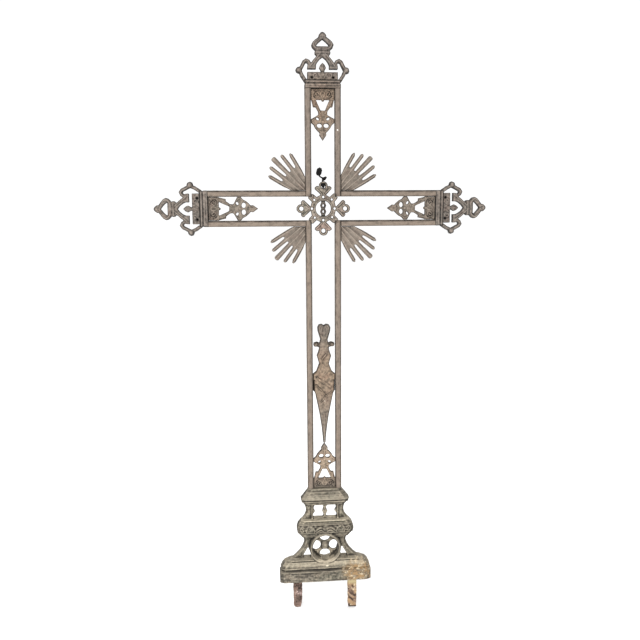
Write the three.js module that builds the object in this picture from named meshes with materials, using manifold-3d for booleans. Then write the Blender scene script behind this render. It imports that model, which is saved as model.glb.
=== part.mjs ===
import * as THREE from 'three';
import { mergeVertices } from 'three/addons/utils/BufferGeometryUtils.js';
import Module from 'manifold-3d';

// A wrought and cast iron grave cross. Millimetres, +Z up, front towards -Y.
// The origin is the middle of the plinth's underside, where the cross meets the ground stone.

// Driving sizes of the cross
const crossingHeight = 1061.2;
const headReach = 309;
const armReach = 306;
const shaftWidth = 95.4;
const barWidth = 16.4;
const barDepth = 24;
const barBevel = 4;
const fitGap = 0.3;

// Driving sizes of the cast ornament
const finialHeight = 139;
const finialHalfSpread = 71;
const finialThickness = 15;
const blockHeight = 21;
const blockDepth = 26;
const boltHoleRadius = 3;
const ornamentLength = 133;
const ornamentThickness = 10;
const panelHeight = 28;
const panelThickness = 8;
const rosetteRadius = 34.5;
const rosetteReach = 71.5;
const rosetteThickness = 9;
const rosetteEyeRadius = 20.5;
const rosetteAside = -1.5;
const rosetteDrop = 0.8;
const rayCount = 5;
const rayPitch = THREE.MathUtils.degToRad(7);
const rayNotchRadius = 129;
const rayLongest = 188;
const rayShortest = 168.5;
const rayFanHalfAngle = THREE.MathUtils.degToRad(15.6);
const rayThickness = 11;
const rayEdgeThickness = 5;
const torchTop = 747;
const torchHipTop = 606;
const torchHipHeight = 50;
const torchThickness = 18;
const hipBackThickness = 4;

// Driving sizes of the base and its tangs
const baseHeight = 274;
const plinthHalfWidth = 131.5;
const plinthHalfDepth = 30;
const plinthHeight = 31;
const capHalfWidth = 68.5;
const bandHalfWidth = 79;
const bandBottom = 146;
const bandTop = 172;
const bandHalfDepth = 24;
const upperNeckHalfWidth = 57.5;
const lowerNeckHalfWidth = 60.5;
const baseCorner = 7;
const cornerSplay = 1.7;
const windowBottom = 186;
const windowTop = 221.5;
const roundelHeight = 99.5;
const roundelRadius = 45;
const roundelRim = 8;
const roundelFront = 26;
const traceryThickness = 7;
const webHalfDepth = 6.5;
const tangSpacing = 159;
const tangWidth = 27;
const tangThickness = 10;
const tangPocketDepth = 12;
const leftTangLength = 91;
const rightTangLength = 99;

// Driving sizes of the black wire
const wireRadius = 2.2;
const sleeveRadius = 7;

// Sizes that follow from them
const halfShaft = shaftWidth / 2;
const clearHalf = halfShaft - barWidth;
const barCentre = halfShaft - barWidth / 2;
const barFront = -barDepth / 2;
const ornamentHalf = clearHalf - fitGap;
const baseTop = baseHeight;
const halfPi = Math.PI / 2;

// Colours of the weathered metal
const frameIron = new THREE.MeshStandardMaterial({ color: 0x94867b, roughness: 0.82, metalness: 0.35 });
const castIron = new THREE.MeshStandardMaterial({ color: 0x827d70, roughness: 0.86, metalness: 0.3 });
const baseIron = new THREE.MeshStandardMaterial({ color: 0x8f8678, roughness: 0.88, metalness: 0.3 });
const rustedIron = new THREE.MeshStandardMaterial({ color: 0x7d6455, roughness: 0.92, metalness: 0.2 });
const blackWire = new THREE.MeshStandardMaterial({ color: 0x28282a, roughness: 0.6, metalness: 0.2 });

const wasm = await Module();
wasm.setup();

// Closed geometries to solids and back
function solidOf(geometry) {
  const bare = new THREE.BufferGeometry();
  bare.setAttribute('position', geometry.getAttribute('position'));
  bare.setIndex(geometry.getIndex());
  const welded = mergeVertices(bare, 1e-4);
  const mesh = new wasm.Mesh({
    numProp: 3,
    vertProperties: new Float32Array(welded.getAttribute('position').array),
    triVerts: new Uint32Array(welded.getIndex().array),
  });
  return new wasm.Manifold(mesh);
}

function geometryOf(solid) {
  const mesh = solid.getMesh();
  const geometry = new THREE.BufferGeometry();
  geometry.setAttribute('position', new THREE.BufferAttribute(mesh.vertProperties, 3));
  geometry.setIndex(new THREE.BufferAttribute(mesh.triVerts, 1));
  return geometry;
}

function joined(geometries) {
  return geometries.map(solidOf).reduce((whole, piece) => whole.add(piece));
}

function without(whole, geometries) {
  return geometries.map(solidOf).reduce((rest, piece) => rest.subtract(piece), whole);
}

// A closed skin over rings of equally many points, with a flat cap on each end
function skin(rings, closed = false) {
  const size = rings[0].length;
  const count = rings.length;
  const index = [];
  const last = closed ? count : count - 1;
  for (let r = 0; r < last; r += 1) {
    for (let k = 0; k < size; k += 1) {
      const a = r * size + k;
      const b = r * size + ((k + 1) % size);
      const c = ((r + 1) % count) * size + k;
      const d = ((r + 1) % count) * size + ((k + 1) % size);
      index.push(a, b, d, a, d, c);
    }
  }
  if (!closed) {
    const end = (count - 1) * size;
    for (let k = 1; k < size - 1; k += 1) {
      index.push(0, k + 1, k);
      index.push(end, end + k, end + k + 1);
    }
  }
  const geometry = new THREE.BufferGeometry();
  geometry.setAttribute('position', new THREE.Float32BufferAttribute(rings.flat(2), 3));
  geometry.setIndex(index);
  if (volumeOf(geometry) < 0) {
    geometry.setIndex(index.slice().reverse());
  }
  return geometry;
}

function volumeOf(geometry) {
  const position = geometry.getAttribute('position');
  const index = geometry.getIndex().array;
  const [a, b, c] = [new THREE.Vector3(), new THREE.Vector3(), new THREE.Vector3()];
  let total = 0;
  for (let i = 0; i < index.length; i += 3) {
    a.fromBufferAttribute(position, index[i]);
    b.fromBufferAttribute(position, index[i + 1]);
    c.fromBufferAttribute(position, index[i + 2]);
    total += a.dot(b.cross(c)) / 6;
  }
  return total;
}

// Sections across a strip: sideways offset and depth, for a given width and thickness
function bevelled(bevel) {
  return (width, thickness) => {
    const [w, t] = [width / 2, thickness / 2];
    const b = Math.min(bevel, 0.4 * w, 0.7 * t);
    return [
      [w, b - t], [w, t - b], [w - b, t], [b - w, t],
      [-w, t - b], [-w, b - t], [b - w, -t], [w - b, -t],
    ];
  };
}

function squared(width, thickness) {
  const [w, t] = [width / 2, thickness / 2];
  return [[w, -t], [w, t], [-w, t], [-w, -t]];
}

function peaked(width, thickness) {
  const [w, t] = [width / 2, thickness / 2];
  return [[w, t], [-w, t], [0, -t]];
}

function ridged(edgeThickness) {
  return (width, thickness) => {
    const [w, e, t] = [width / 2, edgeThickness / 2, thickness / 2];
    return [[w, -e], [w, e], [0, t], [-w, e], [-w, -e], [0, -t]];
  };
}

// A strip along a path of [x, z] points; width is a number or one number a point
function strip(path, width, thickness, { section = bevelled(2), closed = false, y = 0 } = {}) {
  const count = path.length;
  const rings = path.map(([x, z], i) => {
    const before = path[closed ? (i + count - 1) % count : Math.max(i - 1, 0)];
    const after = path[closed ? (i + 1) % count : Math.min(i + 1, count - 1)];
    const arriving = new THREE.Vector2(x - before[0], z - before[1]);
    const leaving = new THREE.Vector2(after[0] - x, after[1] - z);
    const from = arriving.length() > 0 ? arriving.normalize() : leaving.clone().normalize();
    const to = leaving.length() > 0 ? leaving.normalize() : from.clone();
    const along = from.clone().add(to).normalize();
    const mitre = 1 / Math.max(along.dot(from), 0.5);
    const across = Array.isArray(width) ? width[i] : width;
    const [sideX, sideZ] = [-along.y * mitre, along.x * mitre];
    return section(across, thickness).map(([s, d]) => [x + sideX * s, y + d, z + sideZ * s]);
  });
  return skin(rings, closed);
}

// A flat plate cut from a shape in the XZ plane, bevelled on its front and back edges
function plate(shape, thickness, { bevel = 1.5, y = 0, curveSegments = 6 } = {}) {
  const geometry = new THREE.ExtrudeGeometry(shape, {
    depth: thickness - 2 * bevel,
    bevelEnabled: bevel > 0,
    bevelThickness: bevel,
    bevelSize: bevel,
    bevelOffset: -bevel,
    bevelSegments: 1,
    curveSegments,
  });
  geometry.rotateX(halfPi);
  geometry.translate(0, y + thickness / 2 - bevel, 0);
  return geometry;
}

function polygon(points) {
  return new THREE.Shape(points.map(([x, z]) => new THREE.Vector2(x, z)));
}

// The right half of an outline, drawn from the bottom up, and its mirror image
function mirroredOutline(half) {
  const left = half.filter(([x]) => x > 0).map(([x, z]) => [-x, z]);
  return polygon([...half, ...left.reverse()]);
}

function ovalPoints(x, z, radiusX, radiusZ, sides, turn = 0) {
  const points = [];
  for (let k = 0; k < sides; k += 1) {
    const angle = (2 * Math.PI * k) / sides;
    const [u, v] = [radiusX * Math.cos(angle), radiusZ * Math.sin(angle)];
    points.push([x + u * Math.cos(turn) - v * Math.sin(turn), z + u * Math.sin(turn) + v * Math.cos(turn)]);
  }
  return points;
}

// A plug through the whole depth, to cut a hole with
const throughDepth = 200;
function plug(points) {
  return plate(polygon(points), throughDepth, { bevel: 0 });
}

function knob(x, z, radius, halfDepth, y = 0) {
  const geometry = new THREE.SphereGeometry(radius, 8, 4);
  geometry.scale(1, halfDepth / radius, 1);
  geometry.translate(x, y, z);
  return geometry;
}

// Block whose half width and depth change with height; the back lies no deeper than the bars' back
function stacked(levels, corner, splay = 1) {
  return skin(levels.map(([z, w, d]) => {
    const b = Math.min(d, barDepth / 2);
    const c = Math.min(corner, 0.6 * b);
    return [
      [w, c - d, z], [w, b - c, z], [w - c, b, z], [c - w, b, z],
      [-w, b - c, z], [-w, c - d, z], [splay * c - w, -d, z], [w - splay * c, -d, z],
    ];
  }));
}

// Spiral points that wind in from a start angle
function spiral(x, z, radius, startAngle, turns, steps, side) {
  const points = [];
  for (let k = 0; k <= steps; k += 1) {
    const share = k / steps;
    const angle = startAngle + side * 2 * Math.PI * turns * share;
    const r = radius * (1 - 0.78 * share);
    points.push([x + r * Math.cos(angle), z + r * Math.sin(angle)]);
  }
  return points;
}

const cross = new THREE.Group();
cross.name = 'grave_cross';

function place(name, geometry, material, { x = 0, y = 0, z = 0, turn = 0 } = {}) {
  const faceted = geometry.index ? geometry.toNonIndexed() : geometry;
  faceted.computeVertexNormals();
  const mesh = new THREE.Mesh(faceted, material);
  mesh.name = name;
  mesh.position.set(x, y, z);
  mesh.rotation.y = turn;
  cross.add(mesh);
}

// Frame: four long stiles and four rails that butt against them, leaving the crossing open
function frameBar(length) {
  return strip([[0, 0], [0, length]], barWidth, barDepth, { section: bevelled(barBevel) });
}

const upperLength = headReach - clearHalf - fitGap;
const lowerLength = crossingHeight - clearHalf - baseTop - fitGap;
const railLength = armReach - halfShaft - 2 * fitGap;
for (const [side, sign] of [['left', -1], ['right', 1]]) {
  place(`stile_upper_${side}`, frameBar(upperLength), frameIron, {
    x: sign * barCentre,
    z: crossingHeight + clearHalf,
  });
  place(`stile_lower_${side}`, frameBar(lowerLength), frameIron, {
    x: sign * barCentre,
    z: baseTop + fitGap,
  });
  for (const [level, rise] of [['top', 1], ['bottom', -1]]) {
    place(`rail_${side}_${level}`, frameBar(railLength), frameIron, {
      x: sign * (halfShaft + fitGap),
      z: crossingHeight + rise * barCentre,
      turn: sign * halfPi,
    });
  }
}

// Finial: end block, bolted plate, two looped ears with knobs, and a crowned ring on pointed legs
function finial() {
  const h = finialHeight / 141;
  const s = finialHalfSpread / 70.5;
  const at = (points) => points.map(([x, z]) => [x * s, z * h]);
  const block = stacked([
    [0, halfShaft, blockDepth / 2],
    [0.52 * blockHeight, halfShaft, blockDepth / 2],
    [0.62 * blockHeight, halfShaft - 2, blockDepth / 2 - 2],
    [0.72 * blockHeight, halfShaft, blockDepth / 2],
    [0.9 * blockHeight, halfShaft, blockDepth / 2],
    [blockHeight, halfShaft - 2, blockDepth / 2 - 2],
  ], 3);
  const sheet = mirroredOutline([[40 * s, blockHeight - 1], [40 * s, 42 * h]]);
  const boltPlate = plate(sheet, finialThickness - 2, { bevel: 0 });
  const crown = mirroredOutline(at([
    [17, 49.5], [40, 49.5], [39, 60], [32, 61], [26, 71], [18, 80], [16, 84], [20.5, 88], [20.5, 93],
    [18.5, 96.5], [26.5, 103.5], [29, 111], [24.5, 119], [8.5, 129], [10.3, 134], [7, 139], [0, 141],
  ]));
  const arch = at([
    [17, 49], [17, 59], [14, 66], [8, 74], [0, 80], [-8, 74], [-14, 66], [-17, 59], [-17, 49],
  ]);
  const eye = at([[16.5, 107], [15, 111], [8, 118.5], [0, 125], [-8, 118.5], [-15, 111], [-16.5, 107]]);
  const bud = mirroredOutline(at([[5, 42], [5, 45], [9.3, 53], [6, 60], [0, 66]]));
  const pieces = [block, boltPlate, plate(crown, finialThickness, { bevel: 0 })];
  for (const sign of [-1, 1]) {
    const ear = at([[30, 57], [37, 68.5], [43, 71], [48.5, 67], [59, 46], [54, 34], [45, 20]]);
    pieces.push(strip(ear.map(([x, z]) => [sign * x, z]), 9.5, finialThickness - 2, { section: squared }));
    pieces.push(knob(sign * 62.3 * s, 46 * h, 8.7, 8.7));
  }
  const bolts = [-1, 1].map((sign) => {
    const hole = ovalPoints(sign * 28 * s, blockHeight + 7 * h, boltHoleRadius, boltHoleRadius, 6);
    return plate(polygon(hole), finialThickness, { bevel: 0, y: -finialThickness / 2 });
  });
  const pierced = without(joined(pieces), [plug(arch), plug(eye), ...bolts]);
  return geometryOf(pierced.add(solidOf(plate(bud, finialThickness - 5, { bevel: 0 }))));
}

// Ornament between two bars: scrolled panel, forked legs, winged hub and a spearhead
function ornament() {
  const h = ornamentLength / 133;
  const s = ornamentHalf / 30.7;
  const at = (points) => points.map(([x, z]) => [x * s, z * h]);
  const sheet = mirroredOutline([[ornamentHalf, 0], [ornamentHalf, panelHeight]]);
  const panel = plate(sheet, panelThickness, { bevel: 0 });
  const drop = ovalPoints(0, panelHeight - 1, 4.5, 5, 4);
  const pendant = plate(polygon(drop), ornamentThickness - 1, { bevel: 0 });
  const spear = mirroredOutline(at([
    [4, 55], [12, 57], [12, 66], [21, 71.5], [30.7, 76.5], [30.7, 86],
    [24, 91.5], [20.5, 99], [13, 108], [8.5, 112], [9.5, 118], [0, 132],
  ]));
  const pieces = [panel, pendant, plate(spear, ornamentThickness, { bevel: 0 })];
  for (const sign of [-1, 1]) {
    const leg = at([[30, 26], [25.5, 46.5], [18.5, 46.5], [11, 60], [2, 60], [6.5, 53], [18.5, 26]]);
    const outline = leg.map(([across, up]) => [sign * across, up]);
    const legShape = polygon(sign > 0 ? outline : outline.reverse());
    pieces.push(plate(legShape, ornamentThickness - 2, { bevel: 0 }));
    const [x, z] = [sign * 0.5 * ornamentHalf, 0.5 * panelHeight];
    const curl = spiral(x, z, 0.36 * panelHeight, -halfPi, 1.3, 7, sign);
    pieces.push(strip(curl, 3, 5, { section: peaked, y: -panelThickness / 2 }));
  }
  const holes = [];
  for (const sign of [-1, 1]) {
    holes.push(plug(ovalPoints(sign * 14 * s, 76 * h, 5.4, 3.2, 6, sign * -0.6)));
    holes.push(plug(ovalPoints(sign * 9 * s, 93.5 * h, 7, 5.6, 6)));
  }
  return geometryOf(without(joined(pieces), holes));
}

const finialShape = finial();
const ornamentShape = ornament();
const ends = [
  { arm: 'top', x: 0, z: crossingHeight + headReach, turn: 0 },
  { arm: 'left', x: -armReach, z: crossingHeight, turn: -halfPi },
  { arm: 'right', x: armReach, z: crossingHeight, turn: halfPi },
];
for (const { arm, x, z, turn } of ends) {
  const inward = { x: x - Math.sign(x) * fitGap, z: z - (x === 0 ? fitGap : 0) };
  place(`finial_${arm}`, finialShape.clone(), castIron, { x, z, turn });
  place(`ornament_${arm}`, ornamentShape.clone(), castIron, { ...inward, turn: turn + Math.PI });
}
place('ornament_foot', ornamentShape.clone(), castIron, { z: baseTop + fitGap });

// Torch in the lower shaft: twin flame, slim neck, shoulder scrolls, draped hips and a long point
function torch() {
  const point = baseTop + ornamentLength + 3 * fitGap;
  const hipBottom = torchHipTop - torchHipHeight;
  const w = ornamentHalf / 30.7;
  const upper = (torchTop - torchHipTop) / 144;
  const tail = (hipBottom - point) / 149;
  const up = (z) => torchHipTop + z * upper;
  const down = (z) => hipBottom - z * tail;
  const half = [
    [3.2 * w, down(149)], [4 * w, down(134)], [7.1 * w, down(104)], [12 * w, down(70)],
    [18.7 * w, down(35)], [25 * w, down(4)], [27.6 * w, hipBottom],
    [28 * w, hipBottom + 0.66 * torchHipHeight], [ornamentHalf, hipBottom + 0.68 * torchHipHeight],
    [ornamentHalf, torchHipTop], [21.5 * w, up(8)], [17.5 * w, up(19)], [13.5 * w, up(30)],
    [16.5 * w, up(42)], [19.7 * w, up(53)], [16.5 * w, up(62)], [13.5 * w, up(72)], [13.5 * w, up(82)],
    [10 * w, up(100)],
    [13 * w, up(110)], [17 * w, up(124)], [18 * w, up(134)], [14 * w, up(142)],
    [6 * w, up(144)], [0, up(140)],
  ];
  const pieces = [plate(mirroredOutline(half), torchThickness, { bevel: 3 })];
  for (const sign of [-1, 1]) {
    const shoulder = [[4, 82], [13, 84], [20, 86.5], [27.4, 85]];
    const scroll = shoulder.map(([x, rise]) => [sign * x * w, up(rise)]);
    pieces.push(strip(scroll, [10, 12, 13, 11], torchThickness - 5));
    const slotTop = hipBottom + 0.72 * torchHipHeight;
    const slot = [[24, hipBottom], [30.7, hipBottom], [30.7, slotTop], [24, slotTop]];
    const backing = slot.map(([x, z]) => [sign * x * w, z]);
    const backingShape = polygon(sign > 0 ? backing : backing.reverse());
    const behind = (torchThickness - hipBackThickness) / 2;
    pieces.push(plate(backingShape, hipBackThickness, { bevel: 0, y: behind }));
    const flame = [[sign * 4, up(102)], [sign * 9 * w, up(118)], [sign * 9 * w, up(132)]];
    pieces.push(strip(flame, [4, 8, 7], 5, { section: peaked, y: -torchThickness / 2 }));
  }
  const folds = [
    [[-22, up(-6)], [-6, up(-24)], [20, up(-38)]],
    [[-25, up(-30)], [-10, up(-44)], [6, up(-64)]],
    [[23, up(-48)], [6, up(-62)], [-12, up(-84)]],
    [[9, up(62)], [-4, up(46)], [-9, up(28)]],
  ];
  for (const fold of folds) {
    const widths = fold.map((_, i) => (i === 0 || i === fold.length - 1 ? 3 : 6));
    pieces.push(strip(fold, widths, 5, { section: peaked, y: -torchThickness / 2 }));
  }
  return geometryOf(joined(pieces));
}
place('shaft_torch', torch(), castIron);

// Fan of rays in each outer corner of the crossing, each ray with a raised middle
function rayFan(tilt) {
  const middle = (rayCount - 1) / 2;
  const rays = [];
  for (let k = 0; k < rayCount; k += 1) {
    const offset = k - middle;
    const angle = Math.PI / 4 + offset * rayPitch + tilt;
    const outer = Math.abs(offset) / middle;
    const tip = THREE.MathUtils.lerp(rayLongest, rayShortest, outer);
    const spread = 2 * rayNotchRadius * Math.tan(rayPitch / 2) + 0.4;
    const inner = 0.45 * rayNotchRadius;
    const radii = [inner, rayNotchRadius, rayNotchRadius + 3, tip - 3, tip];
    const tipWidth = 13.6 - 7 * Math.sqrt(outer);
    const widths = [(spread * inner) / rayNotchRadius + 0.4, spread, 11.4, tipWidth, 0.55 * tipWidth];
    const path = radii.map((r) => [r * Math.cos(angle), r * Math.sin(angle)]);
    rays.push(strip(path, widths, rayThickness, { section: ridged(rayEdgeThickness) }));
  }
  const edge = halfShaft + fitGap;
  const far = 2 * rayLongest;
  const behindStile = plug([[-far, -far], [edge, -far], [edge, far], [-far, far]]);
  const underRail = plug([[-far, -far], [far, -far], [far, edge], [-far, edge]]);
  const beyond = [-1, 1].map((side) => {
    const direction = (angle) => [far * Math.cos(angle), far * Math.sin(angle)];
    const rim = Math.PI / 4 + tilt + side * rayFanHalfAngle;
    return plug([[0, 0], direction(rim), direction(rim + side * halfPi)]);
  });
  return geometryOf(without(joined(rays), [behindStile, underRail, ...beyond]));
}
// Each fan was set by hand and leans a little, by this many degrees
const corners = [
  { corner: 'upper_right', turn: 0, lean: 0.8 },
  { corner: 'lower_right', turn: halfPi, lean: -0.2 },
  { corner: 'lower_left', turn: Math.PI, lean: 1.4 },
  { corner: 'upper_left', turn: -halfPi, lean: 0.5 },
];
for (const { corner, turn, lean } of corners) {
  const fan = rayFan(THREE.MathUtils.degToRad(lean));
  place(`ray_fan_${corner}`, fan, frameIron, { z: crossingHeight, turn });
}

// Rosette on the front of the crossing: pierced ring, four cross-shaped arms and four forked lobes
function rosette() {
  const y = barFront - fitGap - rosetteThickness / 2;
  const loopRadius = 11.5;
  const loopCentre = rosetteReach - loopRadius;
  const discShape = polygon(ovalPoints(0, 0, rosetteRadius, rosetteRadius + 2, 14));
  const pieces = [plate(discShape, rosetteThickness, { y, bevel: 0 })];
  const holes = [plug(ovalPoints(0, 0, rosetteEyeRadius, rosetteEyeRadius, 12))];
  for (let k = 0; k < 4; k += 1) {
    const turn = k * halfPi;
    const [cosine, sine] = [Math.cos(turn), Math.sin(turn)];
    const spin = ([x, z]) => [x * cosine - z * sine, x * sine + z * cosine];
    const petals = mirroredOutline([
      [7, 26], [6, 37], [13, 43], [22, 51], [22.5, 55.5], [17, 60], [9, 58], [0, 54],
    ].map(([x, z]) => [x, (z * rosetteReach) / 72]));
    const turned = polygon(petals.getPoints().map(({ x, y: z }) => spin([x, z])));
    pieces.push(plate(turned, rosetteThickness, { y, bevel: 0 }));
    const ring = polygon(ovalPoints(...spin([0, loopCentre]), loopRadius, loopRadius, 9));
    pieces.push(plate(ring, rosetteThickness, { y, bevel: 0 }));
    const fork = [[27, 14], [37, 25], [39, 30], [34, 32], [31.5, 40], [27, 39.5], [14, 27]].map(spin);
    pieces.push(plate(polygon(fork), rosetteThickness, { y, bevel: 0 }));
    const hole = spin([0, 0.88 * rosetteRadius]);
    const slanted = spin([0.66 * rosetteRadius, 0.69 * rosetteRadius]);
    holes.push(plug(ovalPoints(...hole, 3.5, 3.5, 7)), plug(ovalPoints(...slanted, 3, 3, 6)));
    holes.push(plug(ovalPoints(...spin([0, loopCentre - 1.5]), 5.6, 5.6, 7)));
  }
  const body = without(joined(pieces), holes);
  const knot = [
    strip([[0, -rosetteEyeRadius - 1], [0, -14]], [12, 8], rosetteThickness - 2, { y, section: squared }),
    strip([[0, 14], [0, rosetteEyeRadius + 1]], [8, 12], rosetteThickness - 2, { y, section: squared }),
    ...[-8, 8].map((z) => strip(ovalPoints(0, z, 5.4, 7.6, 6), 5.6, rosetteThickness - 2,
      { closed: true, y, section: ridged(4) })),
  ];
  return geometryOf(body.add(joined(knot)));
}
const rosettePlace = { x: rosetteAside, z: crossingHeight - rosetteDrop };
place('rosette', rosette(), castIron, rosettePlace);

// Twist of black wire through the rosette's top loop, with a sleeve on its loose end
function wire() {
  const y = barFront - fitGap - rosetteThickness / 2;
  const ahead = rosetteThickness / 2 + wireRadius + fitGap;
  const loop = rosetteReach;
  const route = new THREE.CatmullRomCurve3([
    [2, y - ahead - 1, loop - 14], [0, y - ahead, loop - 10.5], [0, y, loop - 10], [0, y + ahead, loop - 10],
    [0, y + ahead, loop - 2], [-1, y + ahead - 2, loop + 5], [1, y, loop + 6], [3, y - ahead, loop + 7],
    [-3, y - 3, loop + 9], [-8, y - 1, loop + 12], [-12, y, loop + 18], [-11, y, loop + 24],
  ].map(([px, py, pz]) => new THREE.Vector3(px, py, pz)));
  const section = polygon(ovalPoints(0, 0, wireRadius, wireRadius, 5));
  const tube = new THREE.ExtrudeGeometry(section, { steps: 22, bevelEnabled: false, extrudePath: route });
  const flag = strip([[-2, loop + 4], [4, loop + 7], [9, loop + 11]], [9, 9, 4], 5, { y: y - 2 });
  const winding = strip([[0, loop - 5], [0, loop - 16]], [14, 3], 3, { y: y - ahead });
  const sleeve = strip([[-13, loop + 15], [-12, loop + 19], [-9, loop + 30], [-7, loop + 34.5]],
    [0.9 * sleeveRadius, 2 * sleeveRadius, 2 * sleeveRadius, 0.9 * sleeveRadius], 2 * sleeveRadius,
    { section: bevelled(0.6 * sleeveRadius), y });
  return geometryOf(joined([tube, flag, winding, sleeve]));
}
place('wire_hook', wire(), blackWire, rosettePlace);

// Base mouldings from the ground up: each runs from the one below it to this height, half width and
// half depth, and may bow outwards or inwards on the way
const baseMouldings = [
  { z: 0, w: plinthHalfWidth, d: plinthHalfDepth },
  { z: plinthHeight, w: plinthHalfWidth, d: plinthHalfDepth },
  { z: plinthHeight + 4, w: plinthHalfWidth - 4, d: plinthHalfDepth - 6 },
  { z: plinthHeight + 12, w: plinthHalfWidth - 5, d: plinthHalfDepth - 6 },
  { z: plinthHeight + 14, w: plinthHalfWidth - 5, d: plinthHalfDepth - 2 },
  { z: plinthHeight + 27, w: 0.9 * plinthHalfWidth, d: plinthHalfDepth - 4, bow: 2, steps: 2 },
  { z: plinthHeight + 29, w: 0.875 * plinthHalfWidth, d: plinthHalfDepth - 7 },
  { z: plinthHeight + 33, w: 0.8 * plinthHalfWidth, d: plinthHalfDepth - 6 },
  { z: plinthHeight + 36, w: 0.72 * plinthHalfWidth, d: webHalfDepth },
  { z: 112, w: lowerNeckHalfWidth, d: webHalfDepth, bow: -6, steps: 4 },
  { z: bandBottom - 20, w: lowerNeckHalfWidth + 3, d: webHalfDepth, bow: -1.5, steps: 2 },
  { z: bandBottom - 19, w: lowerNeckHalfWidth + 4, d: barDepth / 2 },
  { z: bandBottom - 17, w: lowerNeckHalfWidth + 6, d: bandHalfDepth - 7 },
  { z: bandBottom - 12, w: lowerNeckHalfWidth + 9, d: bandHalfDepth - 7 },
  { z: bandBottom - 10, w: lowerNeckHalfWidth + 10, d: bandHalfDepth - 3 },
  { z: bandBottom - 4, w: bandHalfWidth - 3, d: bandHalfDepth - 3 },
  { z: bandBottom, w: bandHalfWidth, d: bandHalfDepth },
  { z: bandTop, w: bandHalfWidth - 2, d: bandHalfDepth, bow: 3.5, steps: 3 },
  { z: bandTop + 4, w: bandHalfWidth - 5, d: bandHalfDepth - 3 },
  { z: bandTop + 7, w: bandHalfWidth - 7, d: bandHalfDepth - 3 },
  { z: bandTop + 10, w: bandHalfWidth - 10, d: bandHalfDepth - 1 },
  { z: windowBottom - 1, w: upperNeckHalfWidth + 8, d: webHalfDepth },
  { z: windowTop + 2, w: upperNeckHalfWidth, d: webHalfDepth, bow: -7, steps: 4 },
  { z: windowTop + 3, w: upperNeckHalfWidth + 0.5, d: barDepth / 2 },
  { z: baseTop - 42, w: capHalfWidth - 5, d: barDepth / 2 + 1 },
  { z: baseTop - 40, w: capHalfWidth - 3.5, d: barDepth / 2 + 8 },
  { z: baseTop - 35, w: capHalfWidth - 1, d: barDepth / 2 + 9 },
  { z: baseTop - 33, w: capHalfWidth - 1, d: barDepth / 2 + 7 },
  { z: baseTop - 31, w: capHalfWidth, d: barDepth / 2 + 11 },
  { z: baseTop - 27, w: capHalfWidth, d: barDepth / 2 + 13.5 },
  { z: baseTop - 14, w: capHalfWidth - 10.5, d: barDepth / 2 + 8 },
  { z: baseTop - 8, w: halfShaft + 5.5, d: barDepth / 2 + 7 },
  { z: baseTop - 6, w: halfShaft + 3.5, d: barDepth / 2 + 3 },
  { z: baseTop, w: halfShaft, d: barDepth / 2 },
];

function mouldedLevels() {
  const levels = [];
  baseMouldings.forEach(({ z, w, d, bow = 0, steps = 1 }, i) => {
    const from = i === 0 ? { z: 0, w, d } : baseMouldings[i - 1];
    for (let k = 1; k <= steps; k += 1) {
      const share = k / steps;
      const swell = bow * Math.sin(Math.PI * share);
      levels.push([
        THREE.MathUtils.lerp(from.z, z, share),
        THREE.MathUtils.lerp(from.w, w, share) + swell,
        THREE.MathUtils.lerp(from.d, d, share) + Math.max(swell, 0),
      ]);
    }
  });
  return levels;
}

// Pair of cusped windows and the turned post between them
function windows() {
  const height = windowTop - windowBottom;
  const at = (x, share) => [x, windowBottom + share * height];
  const lean = 0.6 * upperNeckHalfWidth;
  const right = [
    at(5, 0), at(lean, 0), at(lean - 1, 0.3), at(lean - 6.5, 0.5), at(lean - 2, 0.7),
    at(lean - 4, 1), at(7, 1), at(3.2, 0.82), at(7, 0.5), at(3.2, 0.2),
  ];
  const left = right.map(([x, z]) => [-x, z]).reverse();
  return [plug(right), plug(left)];
}

// Roundel with four rounded lights, and the three-cornered light on each side of it
function roundelLights() {
  const inner = roundelRadius - roundelRim;
  const lights = [];
  for (let k = 0; k < 4; k += 1) {
    const angle = k * halfPi;
    const reach = (k % 2 === 0 ? 0.66 : 0.69) * inner;
    const [x, z] = [reach * Math.cos(angle), roundelHeight + reach * Math.sin(angle)];
    lights.push(plug(ovalPoints(x, z, 0.34 * inner, 0.39 * inner, 8, angle)));
  }
  return lights;
}

function sideLights() {
  const top = roundelHeight - 3;
  const foot = plinthHeight + 34.5;
  return [-1, 1].map((sign) => {
    const points = [[49, top], [66, foot], [40, foot], [43, foot + 14]].map(([x, z]) => [sign * x, z]);
    return plug(sign > 0 ? points.reverse() : points);
  });
}

// Scrolls in low relief along the band, mirrored about the middle
function bandScrolls() {
  const z = (bandBottom + bandTop) / 2;
  const y = -bandHalfDepth - 3;
  const section = peaked;
  const scrolls = [];
  for (const sign of [-1, 1]) {
    const curl = spiral(sign * 0.76 * bandHalfWidth, z - 1, 9, sign > 0 ? Math.PI : 0, 1.2, 8, -sign);
    scrolls.push(strip(curl, 3.2, 5, { section, y }));
    const at = ([share, rise]) => [sign * share * bandHalfWidth, z + rise];
    const bow = [[0.68, -8], [0.65, 4], [0.53, 9], [0.41, 4], [0.38, -6]];
    scrolls.push(strip(bow.map(at), 3.2, 5, { section, y }));
    const leaf = [[0, 0], [0.1, 5], [0.22, 5], [0.33, -2], [0.36, -7]];
    scrolls.push(strip(leaf.map(at), [4, 6, 5, 4, 3], 5, { section, y }));
  }
  return scrolls;
}

function tangPockets() {
  const [width, depth] = [tangWidth + 2 * fitGap, tangThickness + 2 * fitGap];
  return [-1, 1].map((sign) => {
    const pocket = new THREE.BoxGeometry(width, depth, 2 * tangPocketDepth);
    pocket.translate((sign * tangSpacing) / 2, 0, 0);
    return pocket;
  });
}

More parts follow.
